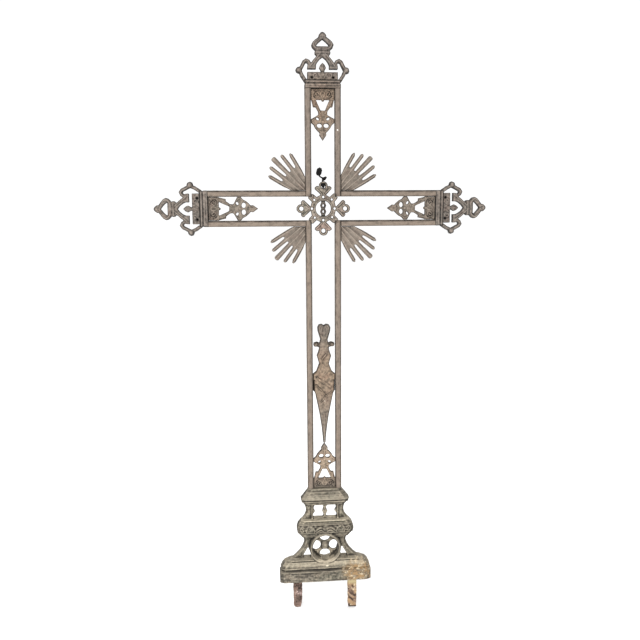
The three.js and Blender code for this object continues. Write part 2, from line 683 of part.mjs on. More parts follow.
function base() {
  const inner = roundelRadius - roundelRim;
  const shell = without(solidOf(stacked(mouldedLevels(), baseCorner, cornerSplay)), [
    ...windows(),
    ...sideLights(),
    plug(ovalPoints(0, roundelHeight, inner, inner, 16)),
  ]);
  const disc = polygon(ovalPoints(0, roundelHeight, inner + 1, inner + 1, 16));
  const sheet = plate(disc, traceryThickness, { bevel: 0 });
  const tracery = without(solidOf(sheet), roundelLights());
  const rimBack = barDepth / 2 + 2.5;
  const rimDepth = roundelFront + rimBack;
  const rim = strip(ovalPoints(0, roundelHeight, inner + roundelRim / 2, inner + roundelRim / 2, 16),
    roundelRim, rimDepth, { closed: true, section: ridged(rimDepth - 5), y: (rimBack - roundelFront) / 2 });
  const boss = knob(0, roundelHeight, 0.32 * inner, barDepth / 2 - 3);
  const whole = shell.add(tracery).add(joined([rim, boss, ...bandScrolls()]));
  return geometryOf(without(whole, tangPockets()));
}
place('base', base(), baseIron);

// Tangs let into pockets in the plinth above and into the stone below; the left one is worn round
function tang(length, worn) {
  const seat = tangPocketDepth - fitGap;
  const end = -length;
  const w = tangWidth / 2;
  const outline = worn
    ? [
      [w, seat], [w, 0], [w - 1, 0.7 * end], [w - 3, 0.9 * end], [w - 6, end],
      [-w + 5, end], [-w + 1, 0.93 * end], [-w, 0.4 * end], [-w, seat],
    ]
    : [[w, seat], [w, 0.5 * end], [w - 1, end], [-w + 2, end], [-w, 0.86 * end], [-w, seat]];
  return plate(polygon(outline.reverse()), tangThickness, { bevel: 1.5 });
}
place('tang_left', tang(leftTangLength, true), rustedIron, { x: -tangSpacing / 2 });
place('tang_right', tang(rightTangLength, false), rustedIron, { x: tangSpacing / 2 });

export default cross;
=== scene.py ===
# %% [markdown]
# # A cast and wrought iron grave cross
# The solids from the CAD stage already have the cross's true outlines, so this script loads them as a fixed
# frame and dresses them. Openwork castings get rounded sections, finer relief and a weathered skin; the plain
# bars of the frame are drawn again with worn edges.

# %% Load the frame
import math
import bmesh
import bpy
import numpy as np
from mathutils import Matrix, Vector, kdtree
from mathutils.bvhtree import BVHTree


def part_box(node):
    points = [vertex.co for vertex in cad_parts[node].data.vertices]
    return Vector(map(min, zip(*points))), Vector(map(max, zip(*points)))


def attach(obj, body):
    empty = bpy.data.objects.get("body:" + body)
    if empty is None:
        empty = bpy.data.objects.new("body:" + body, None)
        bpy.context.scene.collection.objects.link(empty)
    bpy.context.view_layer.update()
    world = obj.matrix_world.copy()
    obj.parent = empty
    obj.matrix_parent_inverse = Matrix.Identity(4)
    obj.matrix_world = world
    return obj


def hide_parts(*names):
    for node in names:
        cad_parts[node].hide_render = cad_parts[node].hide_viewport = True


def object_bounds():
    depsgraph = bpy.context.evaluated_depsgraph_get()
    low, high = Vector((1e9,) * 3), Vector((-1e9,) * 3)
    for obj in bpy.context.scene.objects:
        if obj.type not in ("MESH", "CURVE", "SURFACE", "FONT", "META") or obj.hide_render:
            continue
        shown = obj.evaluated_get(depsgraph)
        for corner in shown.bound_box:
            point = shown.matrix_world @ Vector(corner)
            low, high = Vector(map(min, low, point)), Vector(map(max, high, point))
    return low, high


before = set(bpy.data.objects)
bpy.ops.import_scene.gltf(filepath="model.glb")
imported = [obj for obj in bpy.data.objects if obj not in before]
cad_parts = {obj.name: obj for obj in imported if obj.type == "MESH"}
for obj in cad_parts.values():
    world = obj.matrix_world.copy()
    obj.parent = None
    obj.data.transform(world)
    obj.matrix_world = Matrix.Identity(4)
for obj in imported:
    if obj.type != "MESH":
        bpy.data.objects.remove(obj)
cad_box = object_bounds()
MM = 0.001
print("nodes:", len(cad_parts), "box:", [[round(v, 3) for v in corner] for corner in cad_box])

# %% [markdown]
# ## The camera
# A photograph can be matched by eye, or its camera can be worked out from straight edges of known shape.
# Here the long stiles and rails gave the place, the turn and the field of view, so the render lines up with
# the photograph everywhere at once. The camera stands left of the middle and looks slightly down.

# %% Camera at the photograph's viewpoint
EYE = Vector((-0.1794, -1.8462, 1.0397))
YAW = -0.0914
PITCH = -0.1510
ROLL = 0.0059
FOCAL_PIXELS = 680.5
IMAGE_PIXELS = 640
SENSOR_MM = 36


def in_scene(name, data):
    thing = bpy.data.objects.new(name, data)
    bpy.context.scene.collection.objects.link(thing)
    return thing

turn = Matrix.Rotation(YAW, 3, "Z") @ Matrix.Rotation(PITCH, 3, "X") @ Matrix.Rotation(ROLL, 3, "Y")
looks_forward = Matrix.Rotation(math.pi / 2, 3, "X")
camera_data = bpy.data.cameras.new("photo_camera")
camera_data.sensor_width = SENSOR_MM
camera_data.lens = FOCAL_PIXELS / IMAGE_PIXELS * SENSOR_MM
camera = in_scene("photo_camera", camera_data)
camera.matrix_world = Matrix.Translation(EYE) @ (turn @ looks_forward).to_4x4()
bpy.context.scene.camera = camera
print("lens:", round(camera_data.lens, 2), "mm")

# %% [markdown]
# ## Sizes from the frame
# Nothing is measured twice: the crossing's height, the ends of the arms and the top of the base are read
# from the boxes of the CAD nodes, and every later piece is placed from them.

# %% Sizes read from the nodes
low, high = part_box("finial_left")
CROSSING_Z = (low[2] + high[2]) / 2
ARM_END = -high[0]
HEAD_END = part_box("finial_top")[0][2]
ORNAMENT_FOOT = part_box("ornament_foot")[0][2]
BASE_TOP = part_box("base")[1][2]
LOWEST = cad_box[0][2]
print("crossing at", round(CROSSING_Z, 4), "arm end at", round(ARM_END, 4), "base top at", round(BASE_TOP, 4))

# %% [markdown]
# ## Weathered iron
# Outdoor iron is never one colour. A thin brown skin of rust lies over grey metal, the hollows get painted
# shade and the ridges a painted highlight. Painting all this by hand would need an image. Instead the shader
# mixes noise at several scales on Object coordinates, and reads two numbers a vertex: "hollow" is positive in
# recesses and negative on ridges, and "rim" rises to 1 at the edges of openwork, where the finish paints a
# line of shade. Faces that look up or sideways and faces seen edge-on are made darker, and faces that look up
# or down can get painted light.

# %% Shader helpers
def add_node(tree, kind, inputs=(), **settings):
    node = tree.nodes.new(kind)
    for key, value in settings.items():
        setattr(node, key, value)
    for key, value in dict(inputs).items():
        if isinstance(value, bpy.types.NodeSocket):
            tree.links.new(value, node.inputs[key])
        else:
            node.inputs[key].default_value = value
    return node


def noise(tree, place, scale, detail=4.0, rough=0.6):
    settings = {"Vector": place, "Scale": scale, "Detail": detail, "Roughness": rough}
    return add_node(tree, "ShaderNodeTexNoise", settings).outputs["Fac"]


def span(tree, value, low_in, high_in, low_out=0.0, high_out=1.0):
    settings = {"Value": value, 1: low_in, 2: high_in, 3: low_out, 4: high_out}
    return add_node(tree, "ShaderNodeMapRange", settings).outputs["Result"]


def blend(tree, share, first, second, kind="MIX"):
    first, second = (v if isinstance(v, bpy.types.NodeSocket) else (*v, 1.0) for v in (first, second))
    values = {0: share, 6: first, 7: second}
    return add_node(tree, "ShaderNodeMix", values, data_type="RGBA", blend_type=kind).outputs[2]


def calc(tree, operation, first, second=0.5):
    return add_node(tree, "ShaderNodeMath", {0: first, 1: second}, operation=operation).outputs[0]


def vector(tree, operation, first, second=(0.0, 0.0, 0.0)):
    return add_node(tree, "ShaderNodeVectorMath", {0: first, 1: second}, operation=operation).outputs


def shade(red, green, blue):
    """A photograph's colour, 0 to 255, as the linear colour that a shader takes."""
    return tuple(((v / 255 + 0.055) / 1.055) ** 2.4 if v > 10 else v / 3294.6 for v in (red, green, blue))

print("mid grey as a shader takes it:", [round(v, 3) for v in shade(128, 128, 128)])

# %% The iron material, one call a finish
BROAD = 14.0
BLOTCH = 60.0
FLAKE = 125.0
SKIN = 160.0
GRAIN = 460.0
PALE = 1.28
# Painted light on faces that look up: the body colour times this.
PAINTED_TOP_LIGHT = 1.32
# Painted highlight on ridges: the body colour times this.
RIDGE_HIGHLIGHT = 1.35
# Painted shade in the hollows: the dark colour times this.
HOLLOW_SHADE = 0.45
PIT_DEPTH = 1.6 * MM


def toned(colour, share):
    """A photograph's colour made lighter or darker."""
    return shade(*[min(255, share * v) for v in colour])


def number_of(tree, name):
    """A number that the mesh keeps for each vertex."""
    return add_node(tree, "ShaderNodeAttribute", attribute_name=name).outputs["Fac"]


def darkening_by_facing(tree, facing, blotch, up_share, right_share, left_share, darker_flank):
    """How much darker a face is made: on faces that look up or sideways and on flanks, broken up by the
    blotches.
    """
    up = span(tree, facing["Z"], 0.06, 0.3, 0.0, up_share)
    right = span(tree, facing["X"], 0.12, 0.4, 0.0, right_share)
    left = span(tree, facing["X"], -0.3, -0.7, 0.0, left_share)
    flank = span(tree, calc(tree, "ABSOLUTE", facing["Y"], 0.0), 0.95, 0.55, 0.0, darker_flank)
    most = calc(tree, "MAXIMUM", flank, calc(tree, "MAXIMUM", up, calc(tree, "MAXIMUM", left, right)))
    return calc(tree, "MULTIPLY", most, span(tree, blotch, 0.3, 0.6, 0.65, 1.0))


def new_finish(name):
    material = bpy.data.materials.new(name)
    material.use_nodes = True
    return material, material.node_tree, material.node_tree.nodes["Principled BSDF"]


def iron(name, body, patch, rust, dark, mottle, hollow_shade_share, darker_up=0.3, darker_right=0.3, darker_left=0.0,
         darker_flank=0.5, rust_share=0.45, rim_shade_share=0.0, painted_light_down=0.0, painted_light_up=0.0, pits=0.6, tints_by_place=None):
    """One finish. Colours are the photograph's, and shares go from 0 to 1."""
    material, tree, shader = new_finish(name)
    coords = add_node(tree, "ShaderNodeTexCoord")
    place = coords.outputs["Object"]
    facing = add_node(tree, "ShaderNodeSeparateXYZ", {"Vector": coords.outputs["Normal"]}).outputs
    hollow = number_of(tree, "hollow")
    rim = number_of(tree, "rim")
    broad = noise(tree, place, BROAD, 3.0)
    blotch = noise(tree, place, BLOTCH)
    flakes = noise(tree, place, FLAKE, 3.0)
    fine = noise(tree, place, GRAIN, 3.0, 0.7)

    colour = blend(tree, span(tree, broad, 0.42, 0.6), shade(*body), shade(*patch))
    layers = (
        (blotch, 0.5, 0.64, rust_share, shade(*rust)),
        (flakes, 0.52, 0.6, mottle, toned(body, PALE)),
        (flakes, 0.48, 0.38, mottle, shade(*dark)),
        (fine, 0.5, 0.7, 0.22, shade(*dark)),
        # Painted highlight on ridges.
        (hollow, -0.15, -0.8, 0.6, toned(body, RIDGE_HIGHLIGHT)),
        # Painted light on faces that look down, then on faces that look up.
        (facing["Z"], -0.3, -0.7, painted_light_down, toned(body, PALE)),
        (facing["Z"], 0.15, 0.5, painted_light_up, toned(body, PAINTED_TOP_LIGHT)),
    )
    for value, none_at, all_at, share, coat in layers:
        colour = blend(tree, span(tree, value, none_at, all_at, 0.0, share), colour, coat)
    # Darker on faces that look up or sideways and on faces seen edge-on.
    darker_faces = darkening_by_facing(tree, facing, blotch, darker_up, darker_right, darker_left, darker_flank)
    colour = blend(tree, darker_faces, colour, shade(*dark))
    # Painted shade along the edges of openwork and on its side walls.
    colour = blend(tree, span(tree, rim, 0.35, 0.95, 0.0, rim_shade_share), colour, shade(*dark))
    # Painted shade in the hollows.
    colour = blend(tree, span(tree, hollow, 0.08, 0.75, 0.0, hollow_shade_share), colour, toned(dark, HOLLOW_SHADE))
    if tints_by_place:
        colour = tints_by_place(tree, place, colour)
    tree.links.new(colour, shader.inputs["Base Color"])

    shader.inputs["Metallic"].default_value = 0.0
    shader.inputs["Specular IOR Level"].default_value = 0.3
    tree.links.new(span(tree, blotch, 0.3, 0.7, 0.66, 0.92), shader.inputs["Roughness"])
    rough = calc(tree, "ADD", calc(tree, "MULTIPLY", fine, 0.5), noise(tree, place, SKIN, 5.0, 0.7))
    bump = add_node(tree, "ShaderNodeBump", {"Height": rough, "Strength": pits, "Distance": PIT_DEPTH})
    tree.links.new(bump.outputs["Normal"], shader.inputs["Normal"])
    return material

print("coarsest noise:", round(1 / BROAD / MM), "mm, finest:", round(1 / GRAIN / MM, 1), "mm")

# %% A soft spot round a place
SPOT_WAVER = 0.9


def near(tree, place, centre, radii):
    """1 at a centre, falling to 0 over the given radii, with a ragged edge."""
    offset = vector(tree, "SUBTRACT", place, centre)[0]
    scaled = vector(tree, "MULTIPLY", offset, tuple(1.0 / r for r in radii))[0]
    length = vector(tree, "LENGTH", scaled)["Value"]
    waver = calc(tree, "MULTIPLY", noise(tree, place, BLOTCH), SPOT_WAVER)
    return span(tree, calc(tree, "ADD", length, waver), 1.5, 0.9)

print("a spot's edge wavers with noise of", round(1 / BLOTCH / MM), "mm")

# %% [markdown]
# ## Stains and painted light
# Lime mortar ran down over the right foot of the base and the right tang, with ochre rust under it. Both
# are blends round a named place, with their edges broken up by noise. The torch and the head panel are warmer
# than the grey castings at the ends. Painted light makes the foot ornament warmer and paler, and the ledges
# of the base and the lower wall of its ring paler; painted shadow darkens the slots by the torch's hips and
# the rosette's middle, and painted glints sit on a stile and under the ring. These are tints by place,
# multiplied into one casting finish, where separate materials would show a seam.

# %% Colours, tints and streaks
LIME = shade(208, 190, 158)
OCHRE = shade(160, 130, 92)
SOOT = shade(46, 42, 38)
WARM = (1.32, 1.18, 1.05)
BROWN = (1.12, 1.0, 0.9)
GREY = (0.84, 0.85, 0.87)


def tint(tree, share, colour, factor):
    return blend(tree, share, colour, factor, "MULTIPLY")


def tinted(tree, place, colour, centre, radii, factor):
    """The colour, multiplied by a factor round a place."""
    return tint(tree, near(tree, place, centre, radii), colour, factor)


def painted(tree, place, colour, centre, radii, coat):
    """The colour, with another one over it round a place."""
    return blend(tree, near(tree, place, centre, radii), colour, coat)


def flecked(tree, place, colour, scale, detail, none_at, all_at, share, coat):
    """The colour, with another one over it where a noise is high."""
    flecks = span(tree, noise(tree, place, scale, detail), none_at, all_at, 0.0, share)
    return blend(tree, flecks, colour, coat)


def height_of(tree, place):
    return add_node(tree, "ShaderNodeSeparateXYZ", {"Vector": place}).outputs["Z"]


def middle_of(node):
    return sum(np.array(corner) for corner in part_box(node)) / 2


def streaks(tree, place, scales, low_in, high_in, share):
    """Noise drawn out along one axis, as rust runs along a bar and dirt lies on a ledge."""
    drawn = vector(tree, "MULTIPLY", place, scales)[0]
    return span(tree, noise(tree, drawn, 1.0, 3.0), low_in, high_in, 0.0, share)

print("ochre under the lime:", [round(v, 3) for v in OCHRE])

# %% The bars' grain and a painted glint
CROSS_GRAIN = 170.0
LONG_GRAIN = 46.0
UPPER_TINT = (0.86, 0.87, 0.89)
STILE_GLINT = (0.038, -0.012, 1.2645)


def bar_grain_and_glint(scales):
    def grain(tree, place, colour):
        colour = blend(tree, streaks(tree, place, scales, 0.52, 0.66, 0.42), colour, SOOT)
        colour = blend(tree, streaks(tree, place, scales, 0.46, 0.34, 0.35), colour, shade(136, 122, 110))
        upper = span(tree, height_of(tree, place), CROSSING_Z + 0.04, CROSSING_Z + 0.06)
        colour = tint(tree, upper, colour, UPPER_TINT)
        # A painted glint on the upper right stile.
        return painted(tree, place, colour, STILE_GLINT, (0.0022, 0.02, 0.0022), shade(232, 230, 224))
    return grain

print("grain lines are", round(CROSS_GRAIN / LONG_GRAIN, 1), "times as long as wide")

# %% The castings' tints
HIPS = (0.0, 0.0, 0.60)
FLAMES = (0.0, 0.0, 0.735)
GLINT = (0.001, -0.009, 0.53)
FOOT_MOTIF = (0.0, 0.0, 0.34)
HEAD_PANEL = (0.0, 0.0, 1.33)
HEAD_KNOB = (0.0, 0.0, 1.49)
SLOT_SHADOW = (0.0285, 0.007, 0.572)


def casting_tints(tree, place, colour):
    colour = tinted(tree, place, colour, HIPS, (0.07, 0.1, 0.10), WARM)
    # Painted light on the foot ornament, which is made warmer as well.
    colour = tinted(tree, place, colour, FOOT_MOTIF, (0.07, 0.1, 0.06), (1.8, 1.65, 1.5))
    colour = painted(tree, place, colour, GLINT, (0.004, 0.02, 0.003), shade(176, 162, 146))
    colour = tinted(tree, place, colour, HEAD_PANEL, (0.07, 0.1, 0.09), BROWN)
    colour = tinted(tree, place, colour, FLAMES, (0.05, 0.1, 0.025), GREY)
    colour = tinted(tree, place, colour, HEAD_KNOB, (0.09, 0.1, 0.05), GREY)
    # Painted shadow in the slots beside the torch's hips.
    for side in (-1, 1):
        slot = (side * SLOT_SHADOW[0], *SLOT_SHADOW[1:])
        colour = painted(tree, place, colour, slot, (0.0035, 0.005, 0.016), shade(22, 20, 18))
    return colour


def rosette_tints(tree, place, colour):
    centre = Vector(middle_of("rosette"))
    lower_arm = centre - Vector((0, 0, 0.05))
    # Painted shade in the rosette's middle.
    colour = tinted(tree, place, colour, centre, (0.014, 0.05, 0.028), (0.36, 0.35, 0.35))
    return tinted(tree, place, colour, lower_arm, (0.03, 0.05, 0.014), (1.12, 0.98, 0.98))

print("the torch is warmest at", HIPS[2], "m")

# %% The base's stains, painted light and a painted glint
LIT_LEDGES = ((0.034, 0.07, 1.35), (0.173, 0.19, 1.7), (0.192, 0.22, 1.15))
LIT_RING_WALL = (0.0, -0.010, 0.066)
RING_FRONT = (0.0, -0.032, 0.0995)
OCHRE_SPOT = (0.092, -0.03, 0.024)
LIME_SPOT = (0.088, -0.03, 0.03)
RING_GLINT = (0.004, -0.028, 0.047)


def between(tree, height, low, high, soft=0.004):
    """1 between two heights, with soft ends."""
    rising = span(tree, height, low, low + soft)
    return calc(tree, "MULTIPLY", rising, span(tree, height, high, high - soft))


def base_stains_and_light(tree, place, colour):
    height = height_of(tree, place)
    # Painted light: bands at the heights of the base's ledges and slopes, which face up, are paler.
    for low, high, ledge_light in LIT_LEDGES:
        colour = tint(tree, between(tree, height, low, high), colour, (ledge_light, ledge_light, 0.98 * ledge_light))
    # Painted light on the lower wall of the ring, which faces up.
    colour = tinted(tree, place, colour, LIT_RING_WALL, (0.06, 0.024, 0.034), (1.5, 1.46, 1.42))
    colour = tinted(tree, place, colour, RING_FRONT, (0.09, 0.014, 0.075), (0.74, 0.74, 0.74))
    dirt = calc(tree, "MULTIPLY", streaks(tree, place, (26.0, 26.0, 150.0), 0.49, 0.62, 0.75),
                span(tree, height, 0.03, 0.05, 1.0, 0.45))
    colour = blend(tree, dirt, colour, SOOT)
    ochre = near(tree, place, OCHRE_SPOT, (0.05, 0.09, 0.042))
    speckle = span(tree, noise(tree, place, 110.0, 3.0), 0.4, 0.58, 0.2, 0.95)
    colour = blend(tree, calc(tree, "MULTIPLY", ochre, speckle), colour, OCHRE)
    drops = span(tree, noise(tree, place, 130.0, 2.0), 0.57, 0.64)
    lime = near(tree, place, LIME_SPOT, (0.05, 0.09, 0.045))
    colour = blend(tree, calc(tree, "MULTIPLY", lime, drops), colour, LIME)
    # A painted glint under the ring.
    return painted(tree, place, colour, RING_GLINT, (0.005, 0.03, 0.003), shade(226, 216, 190))

print("ledges are paler up to", max(high for low, high, ledge_light in LIT_LEDGES), "m")

# %% The tangs' stains
LIMED_END = (0.0795, -0.005, -0.098)
LIMED_COLLAR = (0.0795, -0.005, -0.014)
RUSTED_STREAK = (-0.078, -0.005, -0.045)


def lime_coat(tree, place, colour):
    colour = flecked(tree, place, colour, 60.0, 3.0, 0.49, 0.54, 0.9, shade(172, 142, 108))
    colour = flecked(tree, place, colour, 130.0, 2.0, 0.6, 0.66, 1.0, LIME)
    colour = flecked(tree, place, colour, 90.0, 3.0, 0.45, 0.38, 0.75, shade(58, 44, 36))
    colour = painted(tree, place, colour, LIMED_END, (0.04, 0.03, 0.005), SOOT)
    return painted(tree, place, colour, LIMED_COLLAR, (0.05, 0.04, 0.014), shade(206, 188, 144))


def pale_streak(tree, place, colour):
    streak = near(tree, place, RUSTED_STREAK, (0.016, 0.02, 0.010))
    broken = span(tree, noise(tree, place, 240.0, 3.0), 0.46, 0.58)
    colour = blend(tree, calc(tree, "MULTIPLY", streak, broken), colour, shade(196, 172, 164))
    return flecked(tree, place, colour, 150.0, 2.0, 0.64, 0.7, 0.7, shade(150, 116, 104))

print("the lime's collar is", round(-LIMED_COLLAR[2] / MM), "mm under the plinth")

# %% The finishes
BAR = dict(body=(107, 96, 86), patch=(97, 89, 79), rust=(103, 87, 80), dark=(26, 24, 21), mottle=0.5,
           hollow_shade_share=0.6, darker_up=0.9, darker_right=0.65, rim_shade_share=0.5, pits=0.5)
STILE_IRON = iron("bar_iron", **BAR, darker_flank=0.6, painted_light_down=0.45,
                  tints_by_place=bar_grain_and_glint((CROSS_GRAIN, CROSS_GRAIN, LONG_GRAIN)))
RAIL_IRON = iron("bar_iron", **BAR, darker_flank=0.45, painted_light_down=0.5,
                 tints_by_place=bar_grain_and_glint((LONG_GRAIN, CROSS_GRAIN, CROSS_GRAIN)))
RAY_IRON = iron("ray_iron", (132, 121, 110), (122, 113, 103), (128, 111, 101), (54, 48, 42), mottle=0.22,
                hollow_shade_share=0.35, darker_up=0.45, darker_right=0.35, rust_share=0.5, rim_shade_share=0.5, pits=0.5)
CAST_IRON = iron("ornament_iron", (123, 112, 101), (112, 104, 93), (119, 100, 89), (36, 33, 30), mottle=0.45,
                 hollow_shade_share=0.75, darker_flank=0.55, rim_shade_share=0.62, tints_by_place=casting_tints)
END_IRON = iron("finial_iron", (114, 105, 97), (104, 98, 91), (114, 96, 87), (32, 30, 28), mottle=0.6,
                hollow_shade_share=0.85, darker_right=0.35, darker_flank=0.55, rust_share=0.5, rim_shade_share=0.75,
                tints_by_place=casting_tints)
ROSE_IRON = iron("rosette_iron", (130, 120, 109), (114, 111, 98), (132, 109, 101), (26, 25, 22), mottle=0.6,
                 hollow_shade_share=1.0, darker_up=0.35, darker_right=0.35, darker_flank=0.6, rim_shade_share=0.9,
                 tints_by_place=rosette_tints)
BASE_IRON = iron("base_iron", (129, 121, 107), (114, 110, 96), (122, 106, 91), (32, 30, 25), mottle=0.6,
                 hollow_shade_share=0.85, darker_up=0.0, darker_right=0.75, darker_left=0.9, darker_flank=0.55,
                 rust_share=0.4, painted_light_up=0.6, tints_by_place=base_stains_and_light)
RUST_IRON = iron("rusted_iron", (112, 92, 82), (76, 60, 53), (120, 96, 82), (30, 23, 20), mottle=0.8,
                 hollow_shade_share=0.9, darker_up=0.2, rust_share=0.6, pits=0.9, tints_by_place=pale_streak)
LIME_IRON = iron("limed_iron", (134, 110, 92), (84, 64, 54), (152, 120, 94), (36, 28, 24), mottle=0.8,
                 hollow_shade_share=0.9, darker_up=0.2, rust_share=0.6, pits=0.9, tints_by_place=lime_coat)


def black_wire_finish():
    material, tree, shader = new_finish("black_wire")
    place = add_node(tree, "ShaderNodeTexCoord").outputs["Object"]
    worn = span(tree, noise(tree, place, 240.0, 3.0), 0.4, 0.65)
    tree.links.new(blend(tree, worn, shade(3, 3, 3), shade(24, 23, 22)), shader.inputs["Base Color"])
    shader.inputs["Specular IOR Level"].default_value = 0.12
    tree.links.new(span(tree, worn, 0.0, 1.0, 0.5, 0.75), shader.inputs["Roughness"])
    return material

WIRE_BLACK = black_wire_finish()
print("finishes:", [m.name for m in bpy.data.materials])

# %% [markdown]
# ## The frame's bars
# Each stile and rail is a straight bar with chamfered edges. It could be a scaled cube with a bevel, but
# eight bars of four lengths are one rule: a line, a filleted rectangle swept along it, and a little noise
# that wears the edges. That is a Geometry Nodes tree with named inputs, used once for each bar.

# %% Node tree helpers
def new_tree(name, inputs):
    tree = bpy.data.node_groups.new(name, "GeometryNodeTree")
    tree.interface.new_socket("Geometry", in_out="INPUT", socket_type="NodeSocketGeometry")
    for label, kind, value in inputs:
        socket = tree.interface.new_socket(label, in_out="INPUT", socket_type=kind)
        socket.default_value = value
    tree.interface.new_socket("Geometry", in_out="OUTPUT", socket_type="NodeSocketGeometry")
    return tree


def plain(thing):
    """What an object's modifiers make of it, as a plain mesh. The object is removed."""
    shown = thing.evaluated_get(bpy.context.evaluated_depsgraph_get())
    mesh = bpy.data.meshes.new_from_object(shown)
    bpy.data.objects.remove(thing)
    return mesh


def made_by(tree, mesh, values, name):
    """Runs a tree on a mesh and returns the result as a plain mesh."""
    thing = in_scene(name, mesh)
    modifier = thing.modifiers.new(tree.name, "NODES")
    modifier.node_group = tree
    for item in tree.interface.items_tree:
        if item.in_out == "INPUT" and item.name in values:
            modifier[item.identifier] = values[item.name]
    return plain(thing)

print("tree helpers ready")

# %% The bar's tree
CHAMFER = 4.4 * MM
PATH_STEP = 4.0 * MM
SECTION_STEP = 1.8 * MM
WEAR_SCALE = 70.0
WEAR_MIDDLE = 0.62


def resampled(tree, curve, length):
    values = {"Curve": curve, "Length": length}
    return add_node(tree, "GeometryNodeResampleCurve", values, mode="LENGTH").outputs[0]


def bar_tree():
    tree = new_tree("chamfered_bar", [
        ("Start", "NodeSocketVector", (0, 0, 0)),
        ("End", "NodeSocketVector", (0, 0, 1)),
        ("Width", "NodeSocketFloat", 17.0 * MM),
        ("Depth", "NodeSocketFloat", 24.0 * MM),
        ("Chamfer", "NodeSocketFloat", CHAMFER),
        ("Wear", "NodeSocketFloat", 0.6 * MM),
        ("Finish", "NodeSocketMaterial", None),
    ])
    given = add_node(tree, "NodeGroupInput").outputs
    line = add_node(tree, "GeometryNodeCurvePrimitiveLine", {"Start": given["Start"], "End": given["End"]})
    section = add_node(tree, "GeometryNodeCurvePrimitiveQuadrilateral",
                       {"Width": given["Width"], "Height": given["Depth"]})
    rounded = add_node(tree, "GeometryNodeFilletCurve",
                       {"Curve": section.outputs[0], "Radius": given["Chamfer"], "Count": 2}, mode="POLY")
    swept = add_node(tree, "GeometryNodeCurveToMesh", {
        "Curve": resampled(tree, line.outputs[0], PATH_STEP),
        "Profile Curve": resampled(tree, rounded.outputs[0], SECTION_STEP), "Fill Caps": True})
    place = add_node(tree, "GeometryNodeInputPosition").outputs[0]
    waves = add_node(tree, "ShaderNodeTexNoise", {"Vector": place, "Scale": WEAR_SCALE, "Detail": 3.0})
    low_or_high = calc(tree, "SUBTRACT", waves.outputs["Fac"], WEAR_MIDDLE)
    depth = calc(tree, "MULTIPLY", low_or_high, given["Wear"])
    outward = add_node(tree, "GeometryNodeInputNormal").outputs[0]
    offset = add_node(tree, "ShaderNodeVectorMath", {0: outward, "Scale": depth}, operation="SCALE")
    worn = add_node(tree, "GeometryNodeSetPosition",
                    {"Geometry": swept.outputs[0], "Offset": offset.outputs[0]})
    real = add_node(tree, "GeometryNodeRealizeInstances", {"Geometry": worn.outputs[0]})
    coated = add_node(tree, "GeometryNodeSetMaterial",
                      {"Geometry": real.outputs[0], "Material": given["Finish"]})
    add_node(tree, "NodeGroupOutput", {"Geometry": coated.outputs[0]})
    return tree

CHAMFERED_BAR = bar_tree()
print("nodes in the bar's tree:", len(CHAMFERED_BAR.nodes))

# %% [markdown]
# ## Hollows and ridges
# The finish paints shade where a surface is hollow and a highlight where it is proud. The Geometry node's
# Pointiness works in one render engine only, so the same idea is worked out on the mesh: the shape is
# smoothed several times, and a vertex that lies below the smoothed shape is in a hollow.

# %% Hollow, as a number a vertex
HOLLOW_ROUNDS = 14


def spots_and_normals(mesh):
    count = len(mesh.vertices)
    points = np.empty(count * 3)
    mesh.vertices.foreach_get("co", points)
    normals = np.empty(count * 3)
    mesh.vertex_normals.foreach_get("vector", normals)
    return points.reshape(-1, 3), normals.reshape(-1, 3)


def mark_hollows(mesh, rounds=HOLLOW_ROUNDS, reach=0.8 * MM):
    points, normals = spots_and_normals(mesh)
    count = len(points)
    ends = np.empty(len(mesh.edges) * 2, dtype=np.int32)
    mesh.edges.foreach_get("vertices", ends)
    first, second = ends[0::2], ends[1::2]
    links = np.maximum(np.bincount(ends, minlength=count), 1)
    soft = points.copy()
    for _ in range(rounds):
        for axis in range(3):
            total = np.bincount(first, soft[second, axis], count)
            total += np.bincount(second, soft[first, axis], count)
            soft[:, axis] = total / links
    hollow = ((soft - points) * normals).sum(axis=1) / reach
    attribute = mesh.attributes.new("hollow", "FLOAT", "POINT")
    attribute.data.foreach_set("value", np.clip(hollow, -2, 2).astype(np.float32))

print("hollow is measured after", HOLLOW_ROUNDS, "rounds of smoothing")

# %% A finished piece
def piece(name, mesh, slot, *nodes):
    """Puts a finished mesh into the scene in place of its CAD nodes."""
    mesh.name = name
    mesh.shade_smooth()
    if "hollow" not in mesh.attributes:
        mark_hollows(mesh)
    thing = in_scene(name, mesh)
    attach(thing, "root")
    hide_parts(*nodes)
    print(name, len(mesh.polygons), "faces")

# %% Eight bars from one tree
for node in sorted(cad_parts):
    if not node.startswith(("stile", "rail")):
        continue
    low, high = (Vector(corner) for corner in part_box(node))
    middle, size = (low + high) / 2, high - low
    along = 2 if node.startswith("stile") else 0
    start, end = middle.copy(), middle.copy()
    start[along], end[along] = low[along], high[along]
    width, depth = (size.x, size.y) if along == 2 else (size.y, size.z)
    values = {"Start": start, "End": end, "Width": width, "Depth": depth, "Chamfer": CHAMFER,
              "Finish": STILE_IRON if along == 2 else RAIL_IRON}
    bar = made_by(CHAMFERED_BAR, bpy.data.meshes.new(node), values, node)
    piece("bar_" + node, bar, "frame_iron", node)

# %% [markdown]
# ## Castings
# Openwork like this was cast in one pour, so all its forms melt into each other. Three ways could show that:
# sculpting by hand, a subdivision cage, or a voxel remesh. The remesh suits it best, because it fuses the CAD
# solid with extra relief and its fine even grid can then be rounded and pitted by rule.
# Flat plates become rounded bars by one more rule: a front vertex sinks the nearer it is to a side wall.

# %% Meshes put together
GRID = 0.75


def mesh_from(work, name):
    """A new mesh from an edit mesh, which is freed."""
    mesh = bpy.data.meshes.new(name)
    work.to_mesh(mesh)
    work.free()
    return mesh


